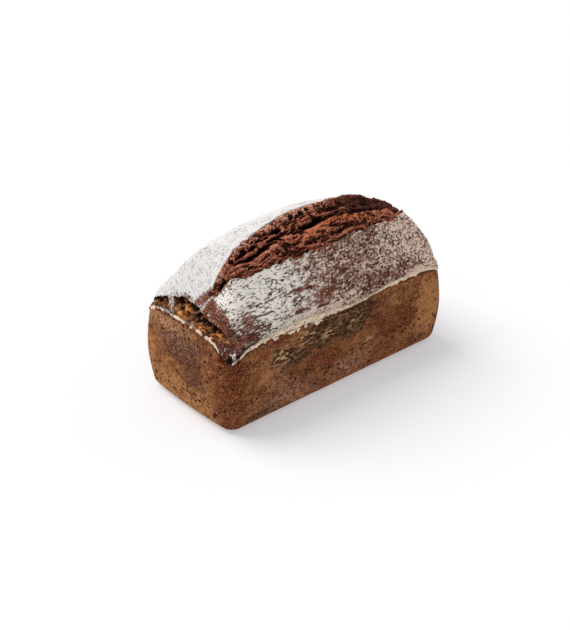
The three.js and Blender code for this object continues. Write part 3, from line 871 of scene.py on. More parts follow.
def split_form(x, across):
    """The split's broad form: a front slab, a crevice behind its edge, a sagging middle and a back ridge."""
    def profile(shape):
        return around(*shape.around, across)

    def pit(shape):
        return shape.depth * around(*shape.around_x, x) * profile(shape)

    crevice = crevice_at(x)
    way = across / crevice
    uneven = 0.8 + 0.5 * layered(stack(x, 0.3, 0.7), 13, 105, 2)
    slab = ramp(0, FRONT_SLAB.top_from, way) * (1 - ramp(FRONT_SLAB.edge_from, 1, way))
    deep = clamp01(0.75 + 0.7 * layered(stack(x, 0.6, 0.2), 17, 111, 2))
    gap = deep * ramp(2.2, 0.4, np.abs(across - crevice - 0.5 * CREVICE.width) / CREVICE.width)
    plain_end = around(*PLAIN_END_SAG.around_x, x) * np.sin(np.pi * clamp01(across))
    return (uneven * FRONT_SLAB.height * slab + BACK_RIDGE.height * profile(BACK_RIDGE)
            - CREVICE.depth * gap - MIDDLE_SAG.depth * profile(MIDDLE_SAG)
            - BACK_GAP.depth * profile(BACK_GAP) - FRONT_GAP.depth * profile(FRONT_GAP)
            - PLAIN_END_SAG.depth * plain_end - pit(BLACK_HOLE) - pit(TAIL_SLOT))


def torn_crumb(points, layer, stretch, strength):
    """Relief of torn crumb: sharp ragged crests with hollows between them, drawn out as stretch says."""
    bent = points + 1.3 * bend(points, 7, layer, 1) + 0.35 * bend(points, 2.4, layer + 3)
    crags = layered(bent / np.asarray(stretch, float), 6.5, layer + 40, 5, 0.62, ridges=True)
    return strength * (crags - 0.7)


def bubbles(points, layer, size, chance, radius):
    """Torn bubbles of the crumb, 1 in their middle, with sharp edges and a wandering outline."""
    bent = points + 1.5 * bend(points, 3, layer)
    return ramp(0.2, 0.7, pits(bent, size, layer + 10, chance, radius))


def height_share(relief, near, far, contrast):
    """A relief as shares of its own contrast: 0 in its small hollows, 1 on its crests."""
    fine = relief - blurred(relief, near)
    broad = relief - blurred(relief, far)
    return clamp01(0.5 + contrast * fine + 0.5 * contrast * broad)


SPLIT_RELIEF = Sizes(crags=9.5, swells=2.2, holes=5, small_holes=0.8, sunk=0.3, under_lips=2.5)
SPLIT_TRIM = 1.5  # the crumb ends this far inside the split's tips
LIP_LAP = 0.05  # the share of the split's width by which it runs on under each lip
CRUMB_TOP = 2.6  # its highest crests over the smooth dome
TOP_MARGIN = 0.2  # how far it stays below the top of the loaf's box
FLOOR_MARGIN = 2  # and its deepest places over the trench's floor
BELOW_FLOOR = 2  # how far its plain underside lies under that floor


def split_relief(smooth, x, across):
    """Relief of the split's crumb over the smooth dome."""
    in_middle = around(0.62, 0.2, across) * ramp(-78, -60, x)
    inside = 0.4 + 0.6 * clamp01(1.8 * np.sin(np.pi * clamp01(across)))
    under_lips = ramp(0, -LIP_LAP, across) + ramp(1, 1 + LIP_LAP, across)
    crags = torn_crumb(smooth, 500, (2.5, 1, 1), SPLIT_RELIEF.crags)
    swells = SPLIT_RELIEF.swells * layered(smooth, (13, 6, 6), 581, 2)
    holes = SPLIT_RELIEF.holes * bubbles(smooth / (1.6, 1, 1), 540, 7.5, 0.75, (2, 3.6))
    small_holes = SPLIT_RELIEF.small_holes * bubbles(smooth / (1.8, 1, 1), 560, 3, 0.3, (0.6, 1.2))
    rough = crags * inside + swells * in_middle - holes * in_middle - small_holes * inside
    relief = (0.25 + 0.75 * split_opening(x)) * (split_form(x, across) + rough)
    relief = relief - SPLIT_RELIEF.sunk - SPLIT_RELIEF.under_lips * under_lips
    return np.clip(relief, FLOOR_MARGIN - TRENCH_DEPTH, CRUMB_TOP)


def split_masks(smooth, x, across, relief):
    """Where the split's crumb is deep, which paints shade, where it is a crest or a hollow, which paints
    highlights and shade, and where it is golden, pink in its painted highlights, and dim.
    """
    behind = ramp(12, 50, x) * ramp(0.22, 0.5, across)
    way = across / crevice_at(x)
    slab_edge = ramp(0.45, 0.8, way) * ramp(1.05, 0.95, way)
    patchy = clamp01(0.6 + 0.8 * layered(smooth, 9, 161, 2))
    not_at_back_lip = 1 - 0.4 * ramp(0.8, 0.95, across)
    return {
        # painted shade where the crumb lies deep, and darker behind the crevice towards the plain end
        "depth": clamp01((0.2 - relief) / 7 + 0.25 * behind),
        # painted highlights on the crests and painted shade in the small hollows
        "crest": height_share(relief, 3, 11, 0.75),
        "gold": slab_edge * ramp(-34, -14, x) * ramp(66, 40, x) * patchy,
        "pink": ramp(0.62, 0.8, across) * ramp(40, 0, x),
        "dim": ramp(5, 42, x) * ramp(0.2, 0.42, across) * not_at_back_lip,
    }


def build_split(material):
    from_x, to_x = SPLIT.from_x + SPLIT_TRIM, SPLIT.to_x - SPLIT_TRIM
    x_line = mix(from_x, to_x, shares_along(from_x, to_x, crest_height, CRUMB_PITCH))
    across = np.linspace(-LIP_LAP, 1 + LIP_LAP, CRUMB_ROWS)[None]
    x = np.repeat(x_line[:, None], CRUMB_ROWS, axis=1)
    y = mix(front_lip_y(x), back_lip_y(x), across)
    smooth = dome_point(x, y)
    smooth[..., 2] -= 0.5 * lip_crust(x, y)
    normals = grid_normals(smooth)
    relief = split_relief(smooth, x, across)
    points = smooth + normals * relief[..., None]
    points[..., 2] = np.minimum(points[..., 2], LOAF_HEIGHT - TOP_MARGIN)
    masks = split_masks(smooth, x, across, relief)
    return close_under("split_crumb", points, normals, TRENCH_DEPTH + BELOW_FLOOR, masks, material)


# ---- crumb in the tear
BEHIND_RECESS = 3  # how far the crumb's plain back lies behind the recess
TEAR_CRUMB = Sizes(columns=330, rows=96, share_from=-0.12, share_to=1.1)
TEAR_RELIEF = Sizes(crags=5.5, swells=1.5, lumps=0.7, sunk=0.9, holes=4, small_holes=0.8,
                    least_depth=0.3, lip=1.2, back_margin=0.6)
# The larger holes in the tear's crumb: Y, height over the rim, and radius.
TEAR_HOLES = ((12, 5.5, 1.9), (5, 11, 2.8), (0, 10.5, 2.3), (4, 6, 1.7), (-5, 7, 2.6), (-8, 4.5, 2),
              (-11, 6, 2.5), (-16, 6, 2.2), (-23, 5.5, 2.6), (-29, 6.5, 2.4), (16, 9.5, 2.4), (10, 11, 2.1),
              (34, 5.5, 2.3), (39, 6, 2))


def placed_holes(face):
    """The tear's larger holes, 1 in their middle, with wandering outlines."""
    bent = face + 1.3 * bend(face, 3, 781)
    deepest = 0
    for y, height, radius in TEAR_HOLES:
        distance = np.hypot(bent[..., 1] - y, bent[..., 2] - height)
        deepest = np.maximum(deepest, bell(distance / radius))
    return ramp(0.2, 0.75, deepest)


def build_tear(material):
    y_line = np.linspace(TEAR_ENDS.to_y, TEAR_ENDS.from_y, TEAR_CRUMB.columns)
    share = np.linspace(TEAR_CRUMB.share_from, TEAR_CRUMB.share_to, TEAR_CRUMB.rows)[None]
    y = np.repeat(y_line[:, None], TEAR_CRUMB.rows, axis=1)
    points = dome_point(mix(tear_low_inset(y), tear_top_inset(y), share) - HALF_LENGTH, y)
    face = stack(0, y, tear_top(y) * share)
    reach = tear_reach(y)
    swells = TEAR_RELIEF.swells * noise(face, 4, 761)
    lumps = torn_crumb(face, 700, (1, 1, 1), TEAR_RELIEF.crags) + swells
    inside = ramp(-0.1, 0.08, share) * reach
    off_strand = 1 - 0.85 * ramp(22, 28, y)
    ledge = ramp(0.3, 0.8, share + 0.2 * layered(face, 8, 735, 2)) * off_strand
    upper = ramp(0.2, 0.5, share + 0.12 * layered(face, 9, 765, 2))
    small_holes = TEAR_RELIEF.small_holes * bubbles(face, 740, 4, 0.7, (0.7, 1.4)) * upper
    holes = np.maximum(small_holes, placed_holes(face))
    rough = TEAR_RELIEF.lumps * lumps - TEAR_RELIEF.sunk - TEAR_RELIEF.holes * holes
    relief = inside * rough - TEAR_DEPTH * ledge * reach
    behind_lip = ramp(0.9, 1.1, share) * ramp(28, 22, y)
    depth = 0.7 - relief + TEAR_RELIEF.lip * behind_lip + TEAR_RELIEF.lip * (1 - reach)
    points[..., 0] += np.clip(depth, TEAR_RELIEF.least_depth, RECESS_DEPTH - TEAR_RELIEF.back_margin)

    # Painted shade under the crust's lip and in the holes.
    under = ramp(0.55, 0.95, share + 0.3 * layered(face, 7, 736, 2))
    patch = clamp01(0.75 + 1.6 * layered(face, 7, 731, 2)) * (1 - 0.6 * around(26, 5, y))
    masks = {
        "crest": height_share(lumps, 7, 19, 0.35),
        "under": clamp01(strongest(under, 1.2 * holes)),
        "patch": patch,
    }
    outward = np.zeros_like(points)
    outward[..., 0] = -1
    return close_under("tear_crumb", points, outward, RECESS_DEPTH + BEHIND_RECESS, masks, material)


# ---- walls from the tin
def rounded_outline():
    """The walls' outline as parts of a rounded rectangle: its core point and its outward direction."""
    straight_x = 2 * (HALF_LENGTH - CORNER_RADIUS)
    straight_y = 2 * (HALF_WIDTH - CORNER_RADIUS)
    arc = CORNER_RADIUS * np.pi / 2
    core, outward = [], []
    corners = [(1, -1, -90), (1, 1, 0), (-1, 1, 90), (-1, -1, 180)]
    for number, (sign_x, sign_y, first_angle) in enumerate(corners):
        length = straight_x if number % 2 == 0 else straight_y
        steps = round(length / WALL_PITCH)
        previous_x, previous_y, _ = corners[number - 1]
        for step in range(steps):
            share = step / steps
            core.append((mix(previous_x, sign_x, share), mix(previous_y, sign_y, share)))
            angle = math.radians(first_angle)
            outward.append((math.cos(angle), math.sin(angle)))
        arc_steps = round(arc / WALL_PITCH)
        for step in range(arc_steps):
            angle = math.radians(first_angle + 90 * step / arc_steps)
            core.append((sign_x, sign_y))
            outward.append((math.cos(angle), math.sin(angle)))
    return np.array(core, float), np.array(outward)


def wall_ring(core, outward, out_x, out_y, radius, z):
    half = np.array([HALF_LENGTH + out_x - radius, HALF_WIDTH + out_y - radius])
    plan = core * half + outward * radius
    return stack(plan[:, 0], plan[:, 1], z)


def wall_out(z, bulge):
    return -WALL_TAPER * (RIM_HEIGHT - z) + bulge * math.sin(math.pi * z / RIM_HEIGHT)


def add_pillow(ring, z):
    """Swells the end walls in the middle of their width."""
    width_share = clamp01(1 - (ring[:, 1] / HALF_WIDTH) ** 2)
    height_part = math.cos(math.pi / 2 * (z / RIM_HEIGHT) ** 2)
    near_end = ramp(0, HALF_LENGTH, np.abs(ring[:, 0]))
    ring[:, 0] += np.sign(ring[:, 0]) * END_PILLOW * width_share * height_part * near_end


WALL_CAP = Sizes(inset=5, below_rim=15)  # the walls' plain top, hidden under the crust
UNDER_RIM = 0.6  # how far the walls run on under the rim
BASE_RINGS = Sizes(count=8, core_half_width=10, least_radius=2.5)
BASE_EDGE_LEAST_RADIUS = 3
BASE_ROUGHNESS = 0.35  # share of the walls' relief that the base keeps


def wall_rings():
    """The rings of the walls: over the base from its middle, round its edge, up to the rim, and a cap."""
    core, outward = rounded_outline()
    rings = []
    for step in range(BASE_RINGS.count):
        inset = mix(HALF_WIDTH - BASE_RINGS.core_half_width, BASE_EDGE_RADIUS, step / BASE_RINGS.count)
        out = wall_out(0, 0) - inset
        radius = max(CORNER_RADIUS - inset, BASE_RINGS.least_radius)
        rings.append(wall_ring(core, outward, out, out, radius, 0.0))
    round_steps = round(BASE_EDGE_RADIUS * math.pi / 2 / WALL_PITCH)
    for step in range(round_steps):
        angle = step / round_steps * math.pi / 2
        z = BASE_EDGE_RADIUS * (1 - math.cos(angle))
        inset = BASE_EDGE_RADIUS * (1 - math.sin(angle))
        radius = max(CORNER_RADIUS - inset, BASE_EDGE_LEAST_RADIUS)
        out_x, out_y = wall_out(z, END_BULGE) - inset, wall_out(z, SIDE_BULGE) - inset
        rings.append(wall_ring(core, outward, out_x, out_y, radius, z))
    level_steps = round((RIM_HEIGHT - BASE_EDGE_RADIUS) / WALL_PITCH)
    for step in range(level_steps + 1):
        share = step / level_steps
        z = mix(BASE_EDGE_RADIUS, RIM_HEIGHT, share)
        ring = wall_ring(core, outward, wall_out(z, END_BULGE), wall_out(z, SIDE_BULGE), CORNER_RADIUS, z)
        line = rim_line(ring[:, 0], ring[:, 1]) + UNDER_RIM
        ring[:, 2] = mix(BASE_EDGE_RADIUS, line, share)
        rings.append(ring)
    cap_z = RIM_HEIGHT - WALL_CAP.below_rim
    rings.append(wall_ring(core, outward, -WALL_CAP.inset, -WALL_CAP.inset, CORNER_RADIUS, cap_z))
    for ring in rings:
        add_pillow(ring, min(ring[:, 2].mean(), RIM_HEIGHT))
    return np.stack(rings, axis=1)


def build_walls(material):
    smooth = wall_rings()
    masks = wall_masks(smooth)
    relief = wall_relief(smooth, masks)
    roughness = mix(BASE_ROUGHNESS, 1, ramp(0, 0.6, smooth[..., 2]))
    points = smooth + wall_normals(smooth) * (relief * roughness)[..., None]
    points[..., 2] = np.maximum(points[..., 2], 0)

    numbers = grid_numbers(points)
    faces = grid_faces(np.concatenate([numbers, numbers[:1]])).tolist()
    faces.append(numbers[::-1, 0].tolist())
    faces.append(numbers[:, -1].tolist())
    flat_masks = {name: values.ravel() for name, values in masks.items()}
    return make_piece("tin_walls", points.reshape(-1, 3), faces, flat_masks, material)


def wall_normals(points):
    """Unit normals of the walls, whose rings are closed."""
    along = np.roll(points, -1, axis=0) - np.roll(points, 1, axis=0)
    return unit(np.cross(along, np.gradient(points, axis=1)))


def on_end(strength, y, z, reach_y, reach_z):
    """A patch of the torn end wall: its strength, centre and reach."""
    return strength, (-102, y, z), (12, reach_y, reach_z)


def on_front(strength, x, z, reach_x, reach_z):
    """A patch of the front wall: its strength, centre and reach."""
    return strength, (x, -48, z), (reach_x, 20, reach_z)


# The walls' patches of each colour, with the noise layer that makes their edges ragged.
RAGGED_PATCHES = {
    "golden": (351, on_end(1.2, 12, 8, 40, 19), on_end(0.8, 40, 30, 10, 26), on_end(0.9, 16, 62, 34, 5),
               on_front(0.7, -71, 36, 8, 11), on_front(1, 84, 34, 14, 26), on_front(0.6, 55, 52, 16, 7)),
    "red": (353, (1.2, (-96, -42, 30), (11, 12, 44)), (0.8, (-88, -48, 52), (10, 12, 12)),
            on_front(0.9, 50, 36, 28, 18), on_front(0.8, -54, 60, 9, 5), on_front(1, -20, 30, 26, 10),
            on_end(0.5, 6, 64, 26, 4)),
    "dark": (355, on_front(0.8, -60, 50, 5, 9), on_front(0.9, -40, 43, 13, 7), on_front(1.2, -16, 52, 20, 11),
             on_front(1.3, 8, 52, 19, 12), on_front(1, 24, 56, 9, 8), on_front(0.7, -74, 9, 16, 4)),
    "plum": (357, on_end(1, 0, 48, 22, 13), on_end(0.8, -10, 32, 16, 10), on_front(0.9, -52, 42, 8, 12),
             on_front(0.5, -40, 20, 20, 8)),
}
FLAKY_PATCHES = (on_front(1, -52, 48, 12, 7), on_front(1, -34, 54, 10, 6), on_front(0.9, -12, 49, 6, 5),
                 on_front(0.6, 8, 52, 12, 7), on_front(0.7, 25, 29, 7, 3))
DUSTY_PATCHES = (on_front(0.7, -50, 14, 30, 9), on_front(1, 8, 17, 15, 8), on_front(0.5, -62, 30, 8, 14))
DUSTY_END_PATCH = on_end(0.8, 20, 58, 26, 8)
POROUS_PATCH = on_front(0.6, 55, 20, 22, 14)
WALL_RELIEF = Sizes(sunk=0.38, lumps=0.16, skin=0.06, pores=1.2, flakes=1.6, flake_from=0.9)


def soft_patches(points, *patches):
    """The strongest of some patches at each point. A patch has its full strength at its centre."""
    amounts = []
    for strength, centre, reach in patches:
        total = sum(((points[..., axis] - centre[axis]) / reach[axis]) ** 2 for axis in range(3))
        amounts.append(strength * np.exp(-total))
    return strongest(*amounts)


def ragged_patches(points, layer, *patches):
    uneven = 0.3 * layered(points, (9, 9, 6), layer)
    return ramp(0.22, 0.68, soft_patches(points, *patches) + uneven)


def wall_masks(points):
    """Where the walls are golden, red, dark, plum, flaky, dusty and porous."""
    x, y, z = (points[..., axis] for axis in range(3))
    front = ramp(-30, -44, y)
    torn_end = ramp(-88, -97, x)
    elsewhere = (1 - front) * (1 - torn_end)
    patchy = 0.5 + 0.5 * layered(points, (20, 16, 12), 301)
    low_end = torn_end * ramp(46, 20, z) * ramp(-46, -30, y)
    masks = {name: ragged_patches(points, *patches) for name, patches in RAGGED_PATCHES.items()}
    masks["golden"] = strongest(masks["golden"], 0.6 * patchy * elsewhere, 0.5 * low_end)
    masks["red"] = strongest(masks["red"], 0.5 * (1 - patchy) * elsewhere)
    masks["dark"] = strongest(masks["dark"], 0.45 * elsewhere * ramp(0.6, 0.9, patchy))
    masks["flaky"] = soft_patches(points, *FLAKY_PATCHES)
    on_end_wall = soft_patches(points, DUSTY_END_PATCH)
    masks["dusty"] = strongest(front * soft_patches(points, *DUSTY_PATCHES), on_end_wall)
    masks["porous"] = strongest(
        torn_end * ramp(34, 18, z) * ramp(-42, -20, y),
        0.3 * torn_end,
        0.35 * front * ramp(46, 16, z),
        soft_patches(points, POROUS_PATCH),
        0.4 * elsewhere * ramp(40, 15, z),
    )
    return masks


def wall_relief(points, masks):
    """Relief of the walls: soft lumps, pores and long flakes. It adds a mask of the pores to the masks, which
    paints shade in them.
    """
    lumps = -WALL_RELIEF.sunk - WALL_RELIEF.lumps * layered(points, 26, 311, 2)
    skin = WALL_RELIEF.skin * layered(points, 3, 321)
    pores = pits(points, 4.2, 331, 0.9 * masks["porous"], (0.5, 1.1))
    bent = points + 1.2 * layered(points, 5, 341, 2)[..., None]
    flakes = layered(bent, (14, 3, 2.6), 345, 2, ridges=True) - WALL_RELIEF.flake_from
    # painted shade in the pores
    masks["pore"] = ramp(0.25, 0.6, pores)
    return lumps + skin - WALL_RELIEF.pores * pores + masks["flaky"] * (WALL_RELIEF.flakes * flakes)


# ---- materials
def srgb(red, green, blue):
    """A colour given as it looks on a screen, from 0 to 255, as linear red, green, blue and alpha."""
    channels = [value / 255 for value in (red, green, blue)]
    linear = [c / 12.92 if c <= 0.04045 else ((c + 0.055) / 1.055) ** 2.4 for c in channels]
    return (*linear, 1)


class Paint:
    """A node material that is put together from noise, masks and mixed colours."""

    def __init__(self, name, roughness, specular):
        self.material = bpy.data.materials.new(name)
        self.material.use_nodes = True
        self.tree = self.material.node_tree
        self.shader = self.tree.nodes["Principled BSDF"]
        self.shader.inputs["Roughness"].default_value = roughness
        self.shader.inputs["Specular IOR Level"].default_value = specular
        self.place = self.add("ShaderNodeTexCoord").outputs["Object"]

    def add(self, kind, **settings):
        node = self.tree.nodes.new(kind)
        for setting, value in settings.items():
            setattr(node, setting, value)
        return node

    def put(self, socket, value):
        if isinstance(value, bpy.types.NodeSocket):
            self.tree.links.new(value, socket)
        else:
            socket.default_value = value

    def stretched(self, size):
        """The place on the loaf in cells of that size in millimetres along X, Y and Z."""
        node = self.add("ShaderNodeVectorMath", operation="MULTIPLY")
        self.put(node.inputs[0], self.place)
        node.inputs[1].default_value = [1 / (MM * side) for side in size]
        return node.outputs[0]

    def noise(self, size, detail=3, roughness=0.6, distortion=0.0):
        node = self.add("ShaderNodeTexNoise")
        self.put(node.inputs["Vector"], self.stretched(size))
        node.inputs["Scale"].default_value = 1
        node.inputs["Detail"].default_value = detail
        node.inputs["Roughness"].default_value = roughness
        node.inputs["Distortion"].default_value = distortion
        return node.outputs["Fac"]

    def pores(self, size, share, radius):
        """Round pores, 1 at their middle, in a share of the cells of that size. The radius is in cells."""
        node = self.add("ShaderNodeTexVoronoi")
        self.put(node.inputs["Vector"], self.stretched((size, size, size)))
        node.inputs["Scale"].default_value = 1
        chance = self.add("ShaderNodeSeparateColor")
        self.put(chance.inputs[0], node.outputs["Color"])
        there = self.math("LESS_THAN", chance.outputs[0], share)
        return self.times(there, self.ramp(node.outputs["Distance"], radius, 0.6 * radius))

    def mask(self, name):
        return self.add("ShaderNodeAttribute", attribute_name=name).outputs["Fac"]

    def ramp(self, value, start, stop, low=0.0, high=1.0):
        """Rises softly from low to high where the value goes from start to stop."""
        node = self.add("ShaderNodeMapRange", interpolation_type="SMOOTHSTEP")
        sockets = ("Value", "From Min", "From Max", "To Min", "To Max")
        for name, given in zip(sockets, (value, start, stop, low, high)):
            self.put(node.inputs[name], given)
        return node.outputs["Result"]

    def math(self, operation, first, second):
        node = self.add("ShaderNodeMath", operation=operation)
        self.put(node.inputs[0], first)
        self.put(node.inputs[1], second)
        return node.outputs[0]

    def times(self, first, second):
        return self.math("MULTIPLY", first, second)

    def plus(self, first, second):
        return self.math("ADD", first, second)

    def minus(self, first, second):
        return self.math("SUBTRACT", first, second)

    def blend(self, under, over, share):
        """Mixes colours: an output, a screen colour of three numbers or a linear one of four."""
        node = self.add("ShaderNodeMix", data_type="RGBA")
        self.put(node.inputs["Factor"], share)
        for socket, colour in ((node.inputs[6], under), (node.inputs[7], over)):
            on_screen = isinstance(colour, tuple) and len(colour) == 3
            self.put(socket, srgb(*colour) if on_screen else colour)
        return node.outputs[2]

    def coats(self, colour, *coats):
        """Lays coats over a colour, each a colour and its share."""
        for coat, share in coats:
            colour = self.blend(colour, coat, share)
        return colour

    def finish(self, colour, height=None, bump_mm=0.3):
        """Sets the colour, and the bump whose height is bump_mm for each unit."""
        self.put(self.shader.inputs["Base Color"], colour)
        if height is not None:
            bump = self.add("ShaderNodeBump")
            bump.inputs["Strength"].default_value = 1
            bump.inputs["Distance"].default_value = bump_mm * MM
            self.put(bump.inputs["Height"], height)
            self.put(self.shader.inputs["Normal"], bump.outputs["Normal"])
        return self.material


def crust_material():
    """Brown crust under patchy flour, with a bead of flour on the rim and painted shade in its trench, recess
    and corner gap.
    """
    paint = Paint("floured_crust", 0.85, 0.1)
    flour, bead, hollow_shade = paint.mask("flour"), paint.mask("bead"), paint.mask("hollow_shade")
    tone_and_light, long = paint.mask("tone_and_light"), paint.mask("long")
    patches = paint.noise((16, 9, 9), 3)
    fine = paint.noise((1.5, 1.1, 1.1), 3)
    bare = paint.blend((104, 53, 37), (138, 80, 60), paint.ramp(patches, 0.35, 0.65))
    bare = paint.blend(bare, (50, 22, 13), paint.ramp(fine, 0.49, 0.63))

    # Flour: a thin film and a thick layer, where the grain is below what the mask lets through.
    blotches = paint.noise((9, 5, 5), 6, 0.75, 0.5)
    specks = paint.noise((2.4, 1.7, 1.7), 4, 0.75, 0.3)
    dashes = paint.noise((4.2, 1.4, 1.4), 5, 0.78, 0.3)
    grain = paint.plus(paint.times(specks, paint.minus(1.0, long)), paint.times(dashes, long))
    level = paint.plus(paint.times(grain, 0.7), paint.times(blotches, 0.3))
    over = paint.minus(level, paint.ramp(flour, 0, 1, 0.33, 0.67))
    thick = paint.ramp(over, -0.03, 0.02, 1, 0)
    film = paint.ramp(over, 0.0, 0.09, 0.42, 0.0)
    # The flour's colour: greyer on the back, painted whiter at the front's left for the light that falls
    # there, and warmer at the thin right.
    pale = paint.blend((226, 223, 220), (255, 247, 236), paint.ramp(tone_and_light, 0.05, 0.45))
    pale = paint.blend(pale, (240, 212, 192), paint.ramp(tone_and_light, 0.5, 1))
    colour = paint.blend(bare, (198, 152, 128), film)
    colour = paint.blend(colour, pale, paint.times(thick, paint.ramp(flour, 0.1, 0.7, 0.75, 1)))

    # Small brown pits in it, most of them in clusters.
    round_pits = paint.noise((2.1, 1.4, 1.4), 4, 0.75)
    long_pits = paint.noise((3.2, 1.3, 1.3), 4, 0.75)
    clusters = paint.ramp(paint.noise((10, 6, 6), 3, 0.6), 0.38, 0.62, -0.043, 0.027)
    pit_noise = paint.plus(paint.blend(round_pits, long_pits, long), clusters)
    start, stop = paint.ramp(tone_and_light, 0.1, 0.5, 0.55, 0.54), paint.ramp(tone_and_light, 0.1, 0.5, 0.61, 0.58)
    in_pits = paint.ramp(pit_noise, start, stop, 0, paint.ramp(tone_and_light, 0.1, 0.5, 0.45, 0.92))
    colour = paint.blend(colour, (66, 36, 24), in_pits)

    # The bead of flour on the rim, which is gritty and broken.
    grit = paint.noise((1.7, 1.3, 1.3), 3)
    cream = paint.blend((240, 218, 192), (150, 108, 80), paint.ramp(grit, 0.52, 0.68))
    breaks = paint.noise((3.6, 3.6, 2.6), 3, 0.6)
    worn = paint.ramp(paint.minus(paint.plus(paint.times(bead, 0.42), 0.27), breaks), -0.04, 0.03)
    colour = paint.blend(colour, cream, paint.times(paint.ramp(bead, 0.02, 0.2), worn))
    # Painted shade in the trench, the recess and the corner gap.
    colour = paint.blend(colour, (34, 14, 9), hollow_shade)
    height = paint.plus(thick, paint.plus(paint.times(fine, 0.6), paint.times(in_pits, -0.8)))
    return paint.finish(colour, height, 0.4)


def split_material():
    """Crumb with painted highlights on its crests, painted shade in its hollows and deep places, and golden
    or pink in places.
    """
    paint = Paint("split_crumb", 0.7, 0.07)
    gold, pink = paint.mask("gold"), paint.mask("pink")
    patches = paint.noise((9, 5, 5), 4)
    fine = paint.noise((2.2, 1.1, 1.1), 4, 0.7, 0.4)
    height = paint.plus(paint.mask("crest"), paint.ramp(fine, 0.32, 0.68, -0.45, 0.45))
    middle = paint.blend((100, 43, 26), (142, 76, 52), paint.ramp(patches, 0.38, 0.66))
    top = paint.blend((208, 134, 104), (240, 180, 152), pink)
    top = paint.blend(top, (228, 126, 56), gold)
    # Painted shade in the hollows and deep places, and painted highlights on the crests, pinker towards the
    # middle and back.
    colour = paint.coats(
        (30, 10, 6),
        (middle, paint.ramp(height, paint.ramp(pink, 0, 1, 0.28, 0.16), 0.58)),
        (top, paint.ramp(height, paint.ramp(pink, 0, 1, 0.75, 0.62), 1.15)),
        ((50, 20, 11), paint.times(paint.mask("dim"), 0.76)),
        ((18, 6, 4), paint.ramp(paint.mask("depth"), 0.35, 1, 0, 0.94)),
    )
    return paint.finish(colour, fine, 0.6)


def tear_material():
    """Golden and brown crumb, with painted shade under the lip, in its holes and in its hollows, and painted
    light on its crests.
    """
    paint = Paint("tear_crumb", 0.8, 0.12)
    fine = paint.noise((1.5, 1.5, 1.5), 4, 0.7)
    height = paint.plus(paint.mask("crest"), paint.ramp(fine, 0.32, 0.68, -0.3, 0.3))
    # Lighter on the crests and darker in the hollows: painted light and shade.
    gold = paint.blend((124, 62, 28), (230, 158, 86), paint.ramp(height, 0.25, 1.0))
    brown = paint.blend((70, 40, 24), (148, 104, 70), paint.ramp(height, 0.3, 0.95))
    colour = paint.coats(
        brown,
        (gold, paint.mask("patch")),
        ((30, 14, 7), paint.ramp(paint.mask("under"), 0.15, 0.8, 0, 0.95)),
        ((40, 22, 12), paint.ramp(height, 0.32, 0.05, 0, 0.9)),
    )
    return paint.finish(colour, fine, 0.3)


def wall_material():
    """Mottled brown wall with golden, red, plum and dark areas, dust, flakes, and pores darkened with painted
    shade.
    """
    paint = Paint("tin_baked_wall", 0.72, 0.08)
    golden, flaky, porous = paint.mask("golden"), paint.mask("flaky"), paint.mask("porous")
    patches = paint.noise((13, 13, 10), 4, 0.65)
    mottle = paint.noise((5, 5, 4), 4, 0.7)
    grain = paint.noise((1.2, 1.2, 1.2), 3, 0.6)
    flakes = paint.noise((6, 1.7, 1.6), 4, 0.65, 0.7)
    dust = paint.ramp(paint.noise((2.4, 1.8, 1.8), 3, 0.65), 0.48, 0.58)
    dark = paint.times(paint.mask("dark"), paint.ramp(mottle, 0.34, 0.52, 0.72, 1))
    streak = paint.times(flaky, paint.ramp(flakes, 0.52, 0.57))
    wide = paint.pores(4.4, paint.times(porous, 0.75), 0.32)
    small = paint.pores(2.3, paint.plus(paint.times(porous, 0.5), 0.05), 0.36)
    holes = paint.math("MAXIMUM", paint.math("MAXIMUM", wide, small), paint.mask("pore"))
    colour = paint.coats(
        (112, 60, 32),
        ((148, 92, 54), paint.ramp(patches, 0.36, 0.64)),
        ((186, 128, 78), paint.times(golden, 0.72)),
        ((102, 43, 18), paint.times(paint.mask("red"), 0.8)),
        ((86, 53, 40), paint.times(paint.mask("plum"), 0.8)),
        ((62, 28, 14), paint.ramp(mottle, 0.48, 0.68, 0, paint.ramp(golden, 0, 1, 0.7, 0.45))),
        ((196, 144, 96), paint.ramp(mottle, 0.46, 0.3, 0, 0.45)),
        ((46, 20, 10), paint.times(dark, 0.93)),
        ((208, 154, 102), paint.ramp(grain, 0.49, 0.32, 0, 0.38)),
        ((48, 20, 10), paint.ramp(grain, 0.51, 0.68, 0, paint.ramp(golden, 0, 1, 0.75, 0.85))),
        ((182, 152, 132), paint.times(paint.mask("dusty"), paint.times(dust, 0.75))),
        ((50, 25, 14), paint.times(flaky, paint.ramp(flakes, 0.5, 0.42, 0, 0.8))),
        ((222, 182, 134), streak),
        # painted shade in the pores
        ((28, 11, 6), paint.times(holes, 0.94)),
    )
    height = paint.minus(paint.plus(paint.times(grain, -0.5), paint.times(streak, 0.8)), holes)
    return paint.finish(colour, height, 0.4)


PAPER = Sizes(dark=(0.595, 0.595, 0.605, 1), light=(0.6, 0.6, 0.61, 1), grain=(60, 60, 60),
              glow_colour=(0.98, 0.975, 1, 1), glow=0.36)


def floor_material():
    """White paper. It glows a little, which keeps the loaf's shadow as light as in a bright studio."""
    paint = Paint("white_floor", 0.9, 0.0)
    paint.shader.inputs["Emission Color"].default_value = PAPER.glow_colour
    paint.shader.inputs["Emission Strength"].default_value = PAPER.glow
    return paint.finish(paint.blend(PAPER.dark, PAPER.light, paint.noise(PAPER.grain, 2)))


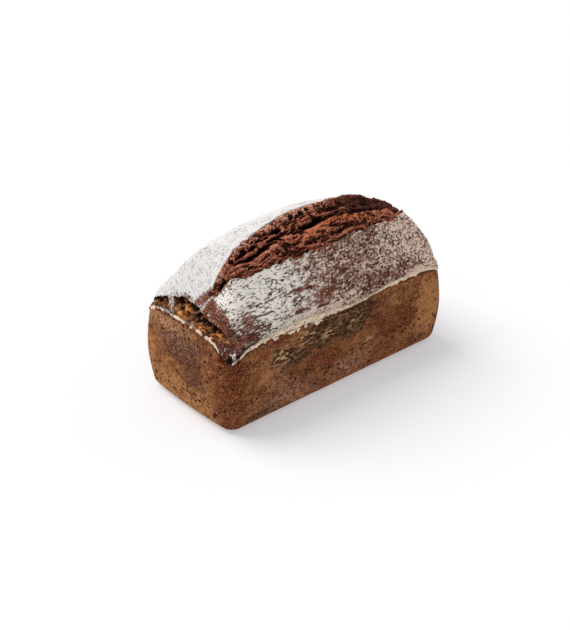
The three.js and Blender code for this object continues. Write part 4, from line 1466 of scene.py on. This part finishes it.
# ---- light, floor and camera
FLOOR_HALF_SIDE = 4.0
SUN = Sizes(from_x=-0.4, from_y=0.9, elevation=53, softness=45, strength=2.3,
            colour=(1.0, 0.985, 0.965))
SKY = Sizes(colour=(0.965, 0.98, 1.0, 1), strength=0.55)
PHOTO_WIDTH, PHOTO_HEIGHT = 570, 630
FOCAL_PIXELS = 1500
SENSOR_MM = 36
CAMERA_AT = (-0.6119, -0.7006, 0.5899)
CAMERA_LOOKS_AT = (-0.01136, 0.0, 0.04175)


def build_floor():
    mesh = bpy.data.meshes.new("floor")
    corners = [(x * FLOOR_HALF_SIDE, y * FLOOR_HALF_SIDE, 0) for x, y in ((-1, -1), (1, -1), (1, 1), (-1, 1))]
    mesh.from_pydata(corners, [], [(0, 1, 2, 3)])
    mesh.materials.append(floor_material())
    floor = bpy.data.objects.new("floor", mesh)
    bpy.context.scene.collection.objects.link(floor)


def build_light():
    light = bpy.data.lights.new("window", "SUN")
    light.energy = SUN.strength
    light.angle = math.radians(SUN.softness)
    light.color = SUN.colour
    lamp = bpy.data.objects.new("window", light)
    level = math.hypot(SUN.from_x, SUN.from_y)
    towards = Vector((SUN.from_x, SUN.from_y, level * math.tan(math.radians(SUN.elevation))))
    lamp.rotation_mode = "QUATERNION"
    lamp.rotation_quaternion = towards.to_track_quat("Z", "Y")
    bpy.context.scene.collection.objects.link(lamp)
    world = bpy.data.worlds.new("studio")
    world.use_nodes = True
    sky = world.node_tree.nodes["Background"]
    sky.inputs["Color"].default_value = SKY.colour
    sky.inputs["Strength"].default_value = SKY.strength
    bpy.context.scene.world = world


def build_camera():
    data = bpy.data.cameras.new("camera")
    data.sensor_width = SENSOR_MM
    data.lens = FOCAL_PIXELS * SENSOR_MM / max(PHOTO_WIDTH, PHOTO_HEIGHT)
    camera = bpy.data.objects.new("camera", data)
    camera.location = CAMERA_AT
    towards = Vector(CAMERA_LOOKS_AT) - Vector(CAMERA_AT)
    camera.rotation_mode = "QUATERNION"
    camera.rotation_quaternion = towards.to_track_quat("-Z", "Y")
    bpy.context.scene.collection.objects.link(camera)
    bpy.context.scene.camera = camera


build_walls(wall_material())
build_crust(crust_material())
build_split(split_material())
build_tear(tear_material())
build_floor()
build_light()
build_camera()
bpy.context.scene.view_settings.view_transform = "Standard"
